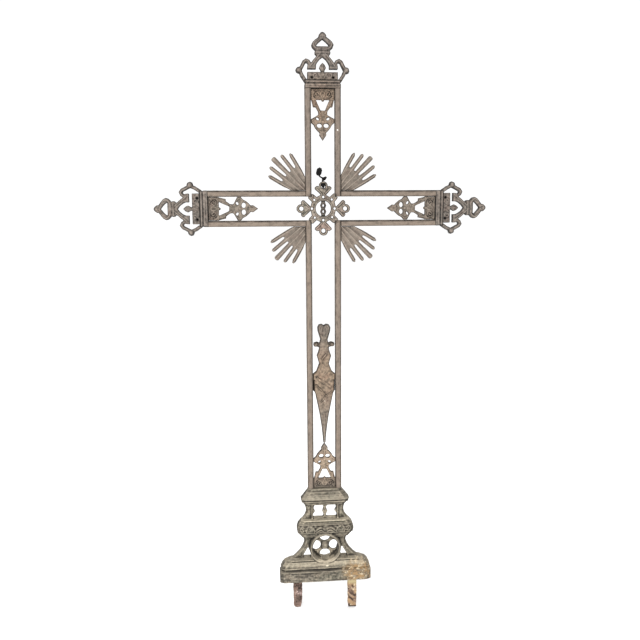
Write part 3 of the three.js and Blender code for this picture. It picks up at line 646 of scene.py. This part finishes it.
def solid_copy(node):
    """The CAD node's mesh with shared corners, as a new mesh."""
    work = bmesh.new()
    work.from_mesh(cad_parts[node].data)
    bmesh.ops.remove_doubles(work, verts=work.verts, dist=1e-6)
    return mesh_from(work, node + "_copy")


def joined(meshes):
    work = bmesh.new()
    for mesh in meshes:
        work.from_mesh(mesh)
    return mesh_from(work, "joined")


def moved(mesh, matrix):
    mesh = mesh.copy()
    mesh.transform(matrix)
    return mesh


def fused(mesh, grid, rounds):
    """Voxel remesh and smoothing: overlapping closed shells become one skin."""
    thing = in_scene("fusing", mesh)
    remesh = thing.modifiers.new("remesh", "REMESH")
    remesh.mode = "VOXEL"
    remesh.voxel_size = grid * GRID
    smooth = thing.modifiers.new("smooth", "SMOOTH")
    smooth.factor = 0.5
    smooth.iterations = rounds
    return plain(thing)

print("remesh grid:", GRID, "of its full size")

# %% Rounded members and round holes
# Width of the painted shade along an edge of openwork.
RIM_WIDTH = 4.0 * MM
WALL_LEAN = 0.5
FACE_LEAN = 0.2


def crowned(mesh, reach, rise, back_share=0.5):
    """Rounds the flat front and back: vertices within reach of a side wall sink by up to rise.
    The nearness to a wall is kept as the number "rim", from which the finish paints shade along the edges."""
    points, normals = spots_and_normals(mesh)
    lean = normals[:, 1]
    walls = points[np.abs(lean) < WALL_LEAN]
    tree = kdtree.KDTree(len(walls))
    for index, spot in enumerate(walls):
        tree.insert((spot[0], 0.0, spot[2]), index)
    tree.balance()
    flat = np.nonzero(np.abs(lean) > FACE_LEAN)[0]
    distance = np.array([tree.find((points[k, 0], 0.0, points[k, 2]))[2] for k in flat])
    share = 1 - np.minimum(distance / reach, 1)
    sink = rise * (1 - np.sqrt(1 - share * share)) * np.abs(lean[flat])
    points[flat, 1] += np.where(lean[flat] < 0, sink, -back_share * sink)
    mesh.vertices.foreach_set("co", points.ravel())
    # 1 on side walls, falling to 0 across a face: where the finish paints shade.
    edge = np.ones(len(points), dtype=np.float32)
    edge[flat] = 1 - np.minimum(distance / RIM_WIDTH, 1)
    mesh.attributes.new("rim", "FLOAT", "POINT").data.foreach_set("value", edge)
    mesh.update()
    return mesh


def opened(mesh, holes, x=0.0, z=0.0):
    """Rounds faceted holes: vertices inside an ellipse move out to its edge. A hole is (x, z, half width,
    half height) in millimetres from a place in metres, and the share of its middle that is left alone."""
    points = spots_and_normals(mesh)[0]
    for across, up, wide, tall, core in holes:
        centre = np.array((x + across * MM, z + up * MM))
        size = np.array((wide, tall)) * MM
        offset = (points[:, [0, 2]] - centre) / size
        reach = np.linalg.norm(offset, axis=1)
        inside = np.nonzero((reach < 1) & (reach > core))[0]
        points[np.ix_(inside, [0, 2])] = centre + offset[inside] / reach[inside, None] * size
    mesh.vertices.foreach_set("co", points.ravel())
    mesh.update()
    return mesh

print("the dark rim is", round(RIM_WIDTH / MM), "mm wide")

# %% A cast skin, and a finish
def pitted(mesh, depth, scale):
    """Moves vertices along their normals by noise, as a sand casting's skin is."""
    thing = in_scene("pitting", mesh)
    clouds = bpy.data.textures.new("sand_skin", "CLOUDS")
    clouds.noise_scale = scale
    clouds.noise_depth = 3
    displace = thing.modifiers.new("pits", "DISPLACE")
    displace.texture = clouds
    displace.texture_coords = "LOCAL"
    displace.strength = depth
    displace.mid_level = 0.6
    return plain(thing)


def finish(mesh, material):
    mesh.materials.clear()
    mesh.materials.append(material)
    return mesh

print("casting helpers ready")

# %% [markdown]
# ## Raised lines
# Scrolls, ribs and folds are all raised lines on a face. One tree draws them: it takes a chain of edges,
# gives it a round section whose radius each point carries, and closes its ends. A line can be drawn at a set
# depth, or a ray cast can lay each of its points on the front of the solid, so that it follows the mouldings.
# The drawing of a line or a boss is given in millimetres from its piece's own place, and made in metres.

# %% The raised line's tree
def relief_tree():
    tree = new_tree("raised_line", [("Section Sides", "NodeSocketInt", 8)])
    given = add_node(tree, "NodeGroupInput").outputs
    curve = add_node(tree, "GeometryNodeMeshToCurve", {"Mesh": given["Geometry"]})
    thick = add_node(tree, "GeometryNodeInputNamedAttribute", {"Name": "thick"}, data_type="FLOAT")
    sized = add_node(tree, "GeometryNodeSetCurveRadius",
                     {"Curve": curve.outputs[0], "Radius": thick.outputs[0]})
    ring = add_node(tree, "GeometryNodeCurvePrimitiveCircle",
                    {"Resolution": given["Section Sides"], "Radius": 1.0})
    radius = add_node(tree, "GeometryNodeInputRadius")
    shaped = add_node(tree, "GeometryNodeCurveToMesh", {
        "Curve": sized.outputs[0], "Profile Curve": ring.outputs[0], "Scale": radius.outputs[0],
        "Fill Caps": True})
    real = add_node(tree, "GeometryNodeRealizeInstances", {"Geometry": shaped.outputs[0]})
    coated = add_node(tree, "GeometryNodeSetMaterial", {"Geometry": real.outputs[0]})
    add_node(tree, "NodeGroupOutput", {"Geometry": coated.outputs[0]})
    return tree

RAISED_LINE = relief_tree()


def raised(lines, sides=8):
    """Meshes from lines: each is a list of (x, y, z, radius) in metres, closed if its ends meet."""
    spots, edges, thick = [], [], []
    for line in [line for line in lines if len(line) > 1]:
        first = len(spots)
        closed = line[0] == line[-1]
        row = line[:-1] if closed else line
        spots += [spot[:3] for spot in row]
        thick += [spot[3] for spot in row]
        edges += [(first + k, first + k + 1) for k in range(len(row) - 1)]
        if closed:
            edges.append((first + len(row) - 1, first))
    mesh = bpy.data.meshes.new("lines")
    mesh.from_pydata(spots, edges, [])
    mesh.attributes.new("thick", "FLOAT", "POINT").data.foreach_set("value", thick)
    return made_by(RAISED_LINE, mesh, {"Section Sides": sides}, "lines")

print("nodes in the raised line's tree:", len(RAISED_LINE.nodes))

# %% Lines laid on a solid's front
EDGE_CLEAR = 1.0 * MM


def shell_of(node):
    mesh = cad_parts[node].data
    return BVHTree.FromPolygons([v.co for v in mesh.vertices], [p.vertices[:] for p in mesh.polygons])


def front_of(node, x=0.0, z=0.0):
    """A function: the depth of a node's front in millimetres, at [x, z] millimetres from a place."""
    shell = shell_of(node)

    def depth(across, up):
        spot = shell.ray_cast(Vector((x + across * MM, -1.0, z + up * MM)), Vector((0, 1, 0)))[0]
        return spot.y / MM if spot else None
    return depth


def on_face(points, radius, face, taper=1.0, sunk=0.2):
    """A line lying on an upright face, from [x, z] points in millimetres. The face is a depth or a function
    that gives one; taper is the ends' share of the radius, and sunk is how deep the line lies."""
    last = len(points) - 1
    line = []
    for k, (x, z) in enumerate(points):
        share = taper + (1 - taper) * max(math.sin(math.pi * k / last), 0.0) ** 0.6
        y = face(x, z) if callable(face) else face
        if y is not None:
            line.append((x * MM, (y + sunk * radius) * MM, z * MM, radius * share * MM))
    return line


def girdle(shell, z, radius, gap=0.0, steps=24):
    """Beads round a block at a height, lying on whatever section the block has there: two halves that
    start and end at the gap's edge, or meet in the middle."""
    z *= MM
    half = shell.ray_cast(Vector((1, 0, z)), Vector((-1, 0, 0)))[0].x - EDGE_CLEAR
    front, back = [], []
    for row, side in ((front, -1), (back, 1)):
        for x in np.linspace(gap * MM, half, steps):
            spot = shell.ray_cast(Vector((x, side, z)), Vector((0, -side, 0)))[0]
            if spot:
                row.append((x, spot.y, z, radius * MM))
    return mirrored([front + back[::-1]])


def mirrored(lines):
    return lines + [[(-x, y, z, r) for x, y, z, r in line] for line in lines]

print("beads stop", round(EDGE_CLEAR / MM), "mm before a block's edge")

# %% Smooth lines, spirals and bosses
def eased(points, steps=5):
    """A smooth line through [x, z] points."""
    result = []
    count = len(points)
    for k in range(count - 1):
        before, here = points[max(k - 1, 0)], points[k]
        there, after = points[k + 1], points[min(k + 2, count - 1)]
        for step in range(steps):
            t = step / steps
            spot = []
            for a in (0, 1):
                p0, p1, p2, p3 = before[a], here[a], there[a], after[a]
                spot.append(0.5 * (2 * p1 + (p2 - p0) * t + (2 * p0 - 5 * p1 + 4 * p2 - p3) * t * t
                                   + (3 * p1 - p0 - 3 * p2 + p3) * t ** 3))
            result.append(spot)
    return result + [list(points[-1])]


def curl(x, z, radius, start, turns, side=1, steps=26, tight=0.8):
    """Points of a spiral that winds in."""
    points = []
    for k in range(steps + 1):
        share = k / steps
        angle = start + side * 2 * math.pi * turns * share
        r = radius * (1 - tight * share)
        points.append([x + r * math.cos(angle), z + r * math.sin(angle)])
    return points


def ball(x, y, z, radius, flat=1.0):
    """A closed round boss, in millimetres."""
    work = bmesh.new()
    bmesh.ops.create_icosphere(work, subdivisions=3, radius=radius * MM)
    bmesh.ops.scale(work, verts=work.verts, vec=(1, flat, 1))
    bmesh.ops.translate(work, verts=work.verts, vec=(x * MM, y * MM, z * MM))
    return mesh_from(work, "ball")

print("points in a spiral:", len(curl(0, 0, 1, 0, 1)))

# %% [markdown]
# ## Finials and ornaments
# The three finials are one casting, and so are the four spear ornaments. Each is dressed once, upright, in
# its own place, and the copies are turned into theirs about the crossing's axis, as the foundry would use one
# pattern. Ribs follow the middle of each openwork member, and small scrolls fill the plates.

# %% The finial's relief, and helpers for copies
ARMS = {"top": 0.0, "left": -math.pi / 2, "right": math.pi / 2}
HEAD_REACH = HEAD_END - CROSSING_Z
SKIN_GRAIN = 9.0 * MM
EAR_X = 62
EAR_Z = 46


def finial_relief():
    face = front_of("finial_top", 0, HEAD_END)
    ear = eased([[31, 58], [36, 66], [42, 70], [48, 66], [54, 55], [59, 46], [55, 36], [47, 24]])
    leg = eased([[33, 55], [26, 64], [17, 76], [6, 88]])
    side = eased([[6, 98], [15, 99.5], [22, 105], [24, 111], [20, 118], [11, 125], [4, 132]])
    lines = mirrored([
        on_face(ear, 2.2, face, 0.7),
        on_face(leg, 2.6, face, 0.7),
        on_face(side, 2.4, face, 0.8),
        on_face(curl(19, 33, 7.5, math.pi, 1.3), 2.0, face, 0.5),
        on_face(eased([[3, 24], [6, 31], [10, 36], [8, 39]]), 1.8, face, 0.5),
        on_face([[38, 24], [38, 40]], 1.6, face),
    ])
    lines.append(on_face([[-38, 40], [0, 40], [38, 40]], 1.6, face))
    lines.append(on_face([[0, 43], [0, 52], [0, 62]], 2.6, face, 0.3))
    lines.append(on_face([[-18, 90.5], [0, 90.5], [18, 90.5]], 3.0, face, 0.8))
    for height, radius in ((2.5, 1.6), (8.5, 1.2), (17, 1.7)):
        lines.append(on_face([[x, height] for x in range(-46, 47, 4)], radius, face))
    return [raised(lines), ball(EAR_X, -4.5, EAR_Z, 8, 0.9), ball(-EAR_X, -4.5, EAR_Z, 8, 0.9),
            ball(0, -3, 134, 7.5, 0.9)]


def dressed(node, relief, grid, rounds, reach, rise, pits=0.9 * MM):
    """A CAD node fused with its relief and given rounded members and a cast skin."""
    mesh = fused(joined([solid_copy(node), *relief]), grid, rounds)
    mesh = crowned(mesh, reach * MM, rise * MM)
    return pitted(mesh, pits, SKIN_GRAIN)


def at_node(meshes, x, z, turned=0.0):
    matrix = Matrix.Translation((x, 0, z)) @ Matrix.Rotation(turned, 4, "Y")
    return [moved(mesh, matrix) for mesh in meshes]


def about_crossing(mesh, angle, shift=0.0):
    """A copy turned about the crossing's axis, then moved along the arm it points to."""
    centre = Matrix.Translation((0, 0, CROSSING_Z))
    outward = Vector((math.sin(angle), 0, math.cos(angle))) * shift
    turned = centre @ Matrix.Rotation(angle, 4, "Y") @ centre.inverted()
    return moved(mesh, Matrix.Translation(outward) @ turned)

print("from the crossing to the finial:", round(HEAD_REACH / MM), "mm")

# %% The three finials
finial = dressed("finial_top", at_node(finial_relief(), 0, HEAD_END), 1.15 * MM, 4, 5.0, 2.6)
finish(finial, END_IRON)
mark_hollows(finial)
for arm, angle in ARMS.items():
    shift = 0.0 if arm == "top" else ARM_END - HEAD_REACH
    piece("cast_finial_" + arm, about_crossing(finial, angle, shift), "cast_ornament", "finial_" + arm)

# %% One spear ornament and its three copies
def ornament_relief():
    face = front_of("ornament_foot", 0, ORNAMENT_FOOT)
    leg = eased([[24, 28], [20, 43], [11, 56], [5, 64]])
    wing = eased([[3, 68], [14, 70.5], [24, 78], [28, 82]])
    hoop = eased([[27, 85], [21, 92], [17, 101], [9, 108], [0, 111]])
    lines = mirrored([
        on_face(leg, 2.2, face, 0.7),
        on_face(wing, 1.8, face, 0.6),
        on_face(hoop, 1.8, face, 0.8),
        on_face(curl(15, 14, 9.5, -math.pi / 2, 1.5), 1.8, face, 0.5),
        on_face(curl(26, 9, 4.5, math.pi / 2, 1.1, -1), 1.7, face, 0.5),
        on_face(eased([[0, 6], [5, 11], [4, 18], [0, 24]]), 2.0, face, 0.4),
        on_face(eased([[30, 20], [26, 22], [20, 25]]), 1.6, face, 0.5),
    ])
    lines.append(on_face([[0, 86], [0, 108], [0, 129]], 2.0, face, 0.5))
    lines.append(on_face([[-30, 1.8], [0, 1.8], [30, 1.8]], 2.2, face))
    lines.append(on_face([[-30, 26.5], [0, 26.5], [30, 26.5]], 1.5, face))
    return [raised(lines), ball(0, -3, 84, 5, 0.8), ball(0, -2.5, 29, 4, 0.8)]

ornament = dressed("ornament_foot", at_node(ornament_relief(), 0, ORNAMENT_FOOT), 1.05 * MM, 3, 4.0, 2.0)
EYES = [(side * 9, 93.5, 6.8, 5.4, 0.3) for side in (1, -1)]
ornament = opened(ornament, EYES, 0, ORNAMENT_FOOT)
finish(ornament, CAST_IRON)
mark_hollows(ornament)
piece("cast_ornament_foot", ornament.copy(), "cast_ornament", "ornament_foot")
GAP = ORNAMENT_FOOT - BASE_TOP
home = Matrix.Rotation(math.pi, 4, "Y") @ Matrix.Translation((0, 0, -ORNAMENT_FOOT))
for arm, angle in ARMS.items():
    end = HEAD_REACH if arm == "top" else ARM_END
    inward = moved(ornament, Matrix.Translation((0, 0, CROSSING_Z + end - GAP)) @ home)
    piece("cast_ornament_" + arm, about_crossing(inward, angle), "cast_ornament", "ornament_" + arm)

# %% [markdown]
# ## The torch
# A slim torch fills the lower shaft: a twin flame, shoulder scrolls and cloth wrapped round its hips, which
# tapers to a point. The cloth is the hard part to read, so its folds are long tapered lines that cross
# from hip to hip, fused into the body before it is rounded.

# %% The torch
TORCH_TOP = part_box("shaft_torch")[1][2]


def torch_relief():
    face = front_of("shaft_torch", 0, TORCH_TOP)
    folds = [
        ([[-27, -146], [-14, -156], [4, -166], [18, -178], [25, -186]], 4.0),
        ([[-26, -160], [-14, -172], [2, -186], [12, -196]], 2.8),
        ([[24, -188], [14, -200], [2, -210], [-8, -214]], 2.8),
        ([[-18, -196], [-8, -206], [4, -214], [10, -222]], 2.4),
        ([[12, -206], [4, -220], [-4, -230]], 2.4),
        ([[9, -72], [4, -86], [-8, -98]], 2.4),
        ([[-11, -106], [0, -118], [11, -130]], 2.4),
        ([[14, -118], [10, -130], [0, -142], [-16, -150]], 2.6),
    ]
    lines = [on_face(eased(path), radius, face, 0.25, 0.6) for path, radius in folds]
    flames = [[[0, -58], [0, -36], [1, -18], [0, -6]], [[5, -46], [9, -30], [13, -14], [9, -4]],
              [[3, -50], [5, -30], [6, -14], [4, -3]]]
    for path in flames:
        lines += mirrored([on_face(eased(path), 1.9, face, 0.4, 0.1)])
    lines += mirrored([on_face(curl(23, -57, 5.0, math.pi / 2, 1.2), 1.7, -8.5, 0.6)])
    lines.append(on_face([[0, -232], [0, -260], [0, -320]], 2.0, face, 0.3))
    scrolls = [ball(side * 24, -2, -57, 5.6) for side in (1, -1)]
    return at_node([raised(lines), *scrolls], 0, TORCH_TOP)

torch = dressed("shaft_torch", torch_relief(), 1.2 * MM, 3, 11.0, 4.0, 0.6 * MM)
piece("cast_torch", finish(torch, CAST_IRON), "cast_ornament", "shaft_torch")

# %% [markdown]
# ## Rays
# Five rays stand in each corner of the crossing. Each has a raised middle and sunk flanks, which repeats
# five times a fan and four fans. A raised line along the middle of each ray and one on each flank give that
# fluted look, and a flat line in each gap closes the rays into one plate near the corner. Each fan leans a
# little its own way, as in the photograph.

# %% The rays' sizes and lines
RAY_COUNT = 5
RAY_PITCH = math.radians(7)
RAY_TIP = 184
TIP_STEP = 9.5
RAY_ROOT = 70
RAY_WEB = 95
RAY_NOTCH = 127
RAY_STOPS = (98, 118, 136, 156)
RAY_WIDTH = 13.0
FULL_WIDTH_AT = 129
BAR_CLEAR = 49
RAY_FRONT = -5.3
FLANK_SLOPE = 4.6
RIDGES = {-0.36: 0.8, 0.36: 0.8, 0.0: 1.1}
LEANS = {"upper_right": 0.8, "lower_right": -0.2, "lower_left": 1.4, "upper_left": 0.5}


def ray_point(angle, reach, spread=0.0):
    """A point on a ray, kept clear of the bars."""
    x = reach * math.cos(angle) - spread * math.sin(angle)
    z = reach * math.sin(angle) + spread * math.cos(angle)
    return [max(x, BAR_CLEAR), max(z, BAR_CLEAR)]


def ray_relief(lean):
    lines = []
    middle = (RAY_COUNT - 1) / 2
    for k in range(RAY_COUNT):
        angle = math.pi / 4 + (k - middle) * RAY_PITCH + math.radians(lean)
        for flank, radius in RIDGES.items():
            path = []
            for reach in (*RAY_STOPS, RAY_TIP - TIP_STEP * abs(k - middle)):
                spread = flank * RAY_WIDTH * min(reach, FULL_WIDTH_AT) / FULL_WIDTH_AT
                path.append(ray_point(angle, reach, spread))
            lines.append(on_face(path, radius, RAY_FRONT + FLANK_SLOPE * abs(flank), 0.6, 0.6))
    for k in range(RAY_COUNT - 1):
        angle = math.pi / 4 + (k + 0.5 - middle) * RAY_PITCH + math.radians(lean)
        seam = [ray_point(angle, reach) for reach in (RAY_ROOT, RAY_WEB, RAY_NOTCH)]
        lines.append(on_face(seam, 3.0, -1.5, 0.4, 0.3))
    return lines

print("lines on a fan:", len(ray_relief(0.0)))

# %% The four fans
for quarter, (corner, lean) in enumerate(LEANS.items()):
    node = "ray_fan_" + corner
    relief = at_node([raised(ray_relief(lean), 6)], 0, CROSSING_Z, quarter * math.pi / 2)
    fan = fused(joined([solid_copy(node), *relief]), 1.1 * MM, 6)
    fan = pitted(crowned(fan, 3.0 * MM, 1.2 * MM), 0.8 * MM, SKIN_GRAIN)
    piece("cast_" + node, finish(fan, RAY_IRON), "ray_iron", node)

# %% [markdown]
# ## The rosette and its wire
# The rosette stands in front of the open crossing: a pierced ring with four cross-shaped arms. Black wire
# has been twisted through its top loop. The remesh leaves round holes a little ragged, so they are set right
# by moving the vertices inside each one out to its edge. The wire keeps the solid's route and gets its turns.

# %% The rosette's lines
ROSE = middle_of("rosette")
ROSE_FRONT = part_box("rosette")[0][1] / MM
LOOP_Z = 59.5


def arc(radius, z, tall, first, last, steps):
    return [[radius * math.cos(a), z + tall * math.sin(a)] for a in np.linspace(first, last, steps)]


def quarter_turns(points):
    """The points [a, b] turned to each of the rosette's four arms."""
    for quarter in range(4):
        cosine, sine = round(math.cos(quarter * math.pi / 2)), round(math.sin(quarter * math.pi / 2))
        yield [[a * cosine - b * sine, a * sine + b * cosine] for a, b in points]


def rosette_relief():
    face = front_of("rosette", ROSE[0], ROSE[2])

    def rose_face(across, up):
        return face(across, up) or ROSE_FRONT + 0.5
    leaf = eased([[3.5, 35], [11, 44], [19.5, 53]])
    arm = [
        (arc(9.4, LOOP_Z, 9.2, -0.8, math.pi + 0.8, 26), 2.7, 0.8),
        (leaf, 3.2, 0.4),
        ([[-x, z] for x, z in leaf], 3.2, 0.4),
        ([[0, 32], [0, 39], [0, 46]], 1.6, 0.5),
        (eased([[26, 24], [30, 35]]), 2.0, 0.5),
        (eased([[24, 27], [36, 29]]), 2.0, 0.5),
    ]
    lines = [on_face(arc(23.4, 0, 23.4, 0, 2 * math.pi, 49), 2.0, face)]
    for path, radius, taper in arm:
        lines += [on_face(turned, radius, rose_face, taper) for turned in quarter_turns(path)]
    return at_node([raised(lines)], ROSE[0], ROSE[2])

print("the rosette's front is at", round(ROSE_FRONT, 1), "mm")

# %% The rosette
ROSE_HOLES = [(0, 0, 20.5, 20.5, 0.85)]
for spot, radius in (([0, 58.5], 5.7), ([0, 30.4], 3.4), ([22.8, 23.8], 3.0)):
    ROSE_HOLES += [(*turned[0], radius, radius, 0.05) for turned in quarter_turns([spot])]

rosette = dressed("rosette", rosette_relief(), 0.95 * MM, 2, 4.0, 2.6, 0.8 * MM)
rosette = opened(rosette, ROSE_HOLES, ROSE[0], ROSE[2])
mark_hollows(rosette, 10, 0.5 * MM)
piece("cast_rosette", finish(rosette, ROSE_IRON), "cast_ornament", "rosette")

# %% The wire
def wire_bow():
    """The wire's tight turns in the rosette's top loop, each shorter than the one above."""
    turns = []
    for k in range(5):
        height = 3 - 2.4 * k
        path = [[-7.4 + 1.4 * k, height], [5.6 - 1.3 * k, height]]
        turns.append(on_face(path, 1.8, ROSE_FRONT - 2.2))
    return at_node([raised(turns)], ROSE[0], ROSE[2] + LOOP_Z * MM)

wire = fused(joined([solid_copy("wire_hook"), *wire_bow()]), 0.7 * MM, 2)
piece("twisted_wire", finish(wire, WIRE_BLACK), "black_wire", "wire_hook")

# %% [markdown]
# ## The base
# The base is a short moulded pillar: plinth, slopes, a pierced roundel, a band with scrolls, two small
# windows and a cap. Its mouldings come from the CAD solid. The scrolls, the lips of the mouldings, the
# beads between the roundel's lights and the turned post are raised lines and bosses fused into it.

# %% The base's sizes and lines
BAND_Z = 159
SILL_Z = 203.5
ROUNDEL_Z = 99.5
ROUNDEL_REACH = 44
LIGHT_REACH = 25
BEAD_REACH = 29
LIPS = {272: 1.2, 257: 1.0, 246: 1.7, 238: 1.7, 229.5: 1.3, 170.5: 1.7, 147: 1.7, 141: 1.2,
        136: 1.2, 131: 1.2, 58.5: 1.2, 40.5: 3.6, 30.5: 1.5}
RINGS = [(40.8, 4.2, -23.0, 0, 360), (43.4, 3.0, -25.5, 200, 340), (36.8, 1.0, -4.0, 0, 360)]


def band_scrolls(face):
    """Half of the band's relief, and of the windows' trim above it."""
    up = BAND_Z
    arch = eased([[54, up - 9], [54, up + 1], [47, up + 8], [39, up + 7], [33, up - 1], [32, up - 10]])
    inner_arch = eased([[49, up - 9], [49, up], [43, up + 3.5], [38, up - 1], [37, up - 9]])
    leaf = eased([[2, up - 3], [8, up + 3], [16, up + 5], [24, up], [30, up - 7]])
    vein = eased([[3, up - 10], [12, up - 4], [20, up - 6], [27, up - 11]])
    return [
        on_face(arch, 3.3, face, 0.6),
        on_face(inner_arch, 1.8, face, 0.6),
        on_face(curl(66, up - 1, 8.5, math.pi, 1.4, -1), 2.7, face, 0.5),
        on_face(leaf, 3.5, face, 0.4),
        on_face(vein, 2.5, face, 0.4),
        on_face([[37, 184], [37, 204], [37, 224]], 2.2, face),
        on_face([[38, SILL_Z], [34, SILL_Z], [27, SILL_Z]], 2.2, -4.5, 0.3),
        on_face([[0, SILL_Z], [5, SILL_Z], [8.5, SILL_Z]], 2.0, -4.5, 0.4),
    ]


def base_relief():
    shell = shell_of("base")
    lines = mirrored(band_scrolls(front_of("base")))
    for height, radius in LIPS.items():
        chord = math.sqrt(max(ROUNDEL_REACH ** 2 - (height - ROUNDEL_Z) ** 2, 0))
        lines += girdle(shell, height, radius, chord)
    for radius, thick, depth, first, last in RINGS:
        ring = arc(radius, ROUNDEL_Z, radius, math.radians(first), math.radians(last), 73)
        lines.append(on_face(ring, thick, depth))
    bosses = [ball(0, -4.5, ROUNDEL_Z, 12, 0.6)]
    for quarter in range(4):
        angle = math.pi / 4 + quarter * math.pi / 2
        x, z = BEAD_REACH * math.cos(angle), ROUNDEL_Z + BEAD_REACH * math.sin(angle)
        bosses.append(ball(x, -3.5, z, 3.4))
    for height, radius in ((187, 3.6), (SILL_Z, 5.2), (220, 3.6)):
        bosses.append(ball(0, -1.5, height, radius, 1.1))
    return [raised(lines), *bosses]

print("lips round the base:", len(LIPS))

# %% The base
LIGHT_SHORT = 13
LIGHT_LONG = 14.6
LIGHT_CORE = 0.5
LIGHTS = []
for side in (1, -1):
    LIGHTS.append((side * LIGHT_REACH, ROUNDEL_Z, LIGHT_SHORT, LIGHT_LONG, LIGHT_CORE))
    LIGHTS.append((0, ROUNDEL_Z + side * LIGHT_REACH, LIGHT_LONG, LIGHT_SHORT, LIGHT_CORE))

base = fused(joined([solid_copy("base"), *base_relief()]), 1.8 * MM, 1)
base = pitted(opened(base, LIGHTS), 0.8 * MM, 11.0 * MM)
mark_hollows(base, 8, 0.6 * MM)
piece("cast_base", finish(base, BASE_IRON), "base_iron", "base")

# %% The two tangs
for side, coat, slot in (("left", RUST_IRON, "rusted_tang"), ("right", LIME_IRON, "limed_tang")):
    tang = pitted(fused(solid_copy("tang_" + side), 1.2 * MM, 4), 2.6 * MM, 14.0 * MM)
    piece("worn_tang_" + side, finish(tang, coat), slot, "tang_" + side)

# %% [markdown]
# ## Studio
# The photograph shows the cross cut out on white, in soft light from above. A pale floor under the tangs, a
# white world, a strong light at the upper left and a wide, weaker one behind give that, with no hard shadow.

# %% Floor, world and lights
REACH = 60.0
corners = [(x, y, LOWEST) for x, y in ((-REACH, -REACH), (REACH, -REACH), (REACH, REACH), (-REACH, REACH))]
floor_mesh = bpy.data.meshes.new("studio_floor")
floor_mesh.from_pydata(corners, [], [(0, 1, 2, 3)])
floor = in_scene("studio_floor", floor_mesh)
floor_finish, _, paint = new_finish("pale_floor")
paint.inputs["Base Color"].default_value = (0.95, 0.95, 0.95, 1)
paint.inputs["Roughness"].default_value = 0.9
floor_mesh.materials.append(floor_finish)

world = bpy.data.worlds.new("white_studio")
world.use_nodes = True
sky = world.node_tree.nodes["Background"]
sky.inputs["Color"].default_value = (1, 1, 1, 1)
sky.inputs["Strength"].default_value = 1.07
bpy.context.scene.world = world


def soft_light(name, place, aim, size, power):
    data = bpy.data.lights.new(name, "AREA")
    data.shape = "SQUARE"
    data.size = size
    data.energy = power
    light = in_scene(name, data)
    light.location = place
    light.rotation_euler = (Vector(aim) - Vector(place)).to_track_quat("-Z", "Y").to_euler()

soft_light("key", (-1.3, -2.6, 2.5), aim=(0, 0, 0.8), size=1.0, power=70)
soft_light("back", (0.8, 1.8, 3.2), aim=(0, 0, 0.7), size=1.6, power=30)
bpy.context.scene.view_settings.view_transform = "Standard"
print("studio ready")
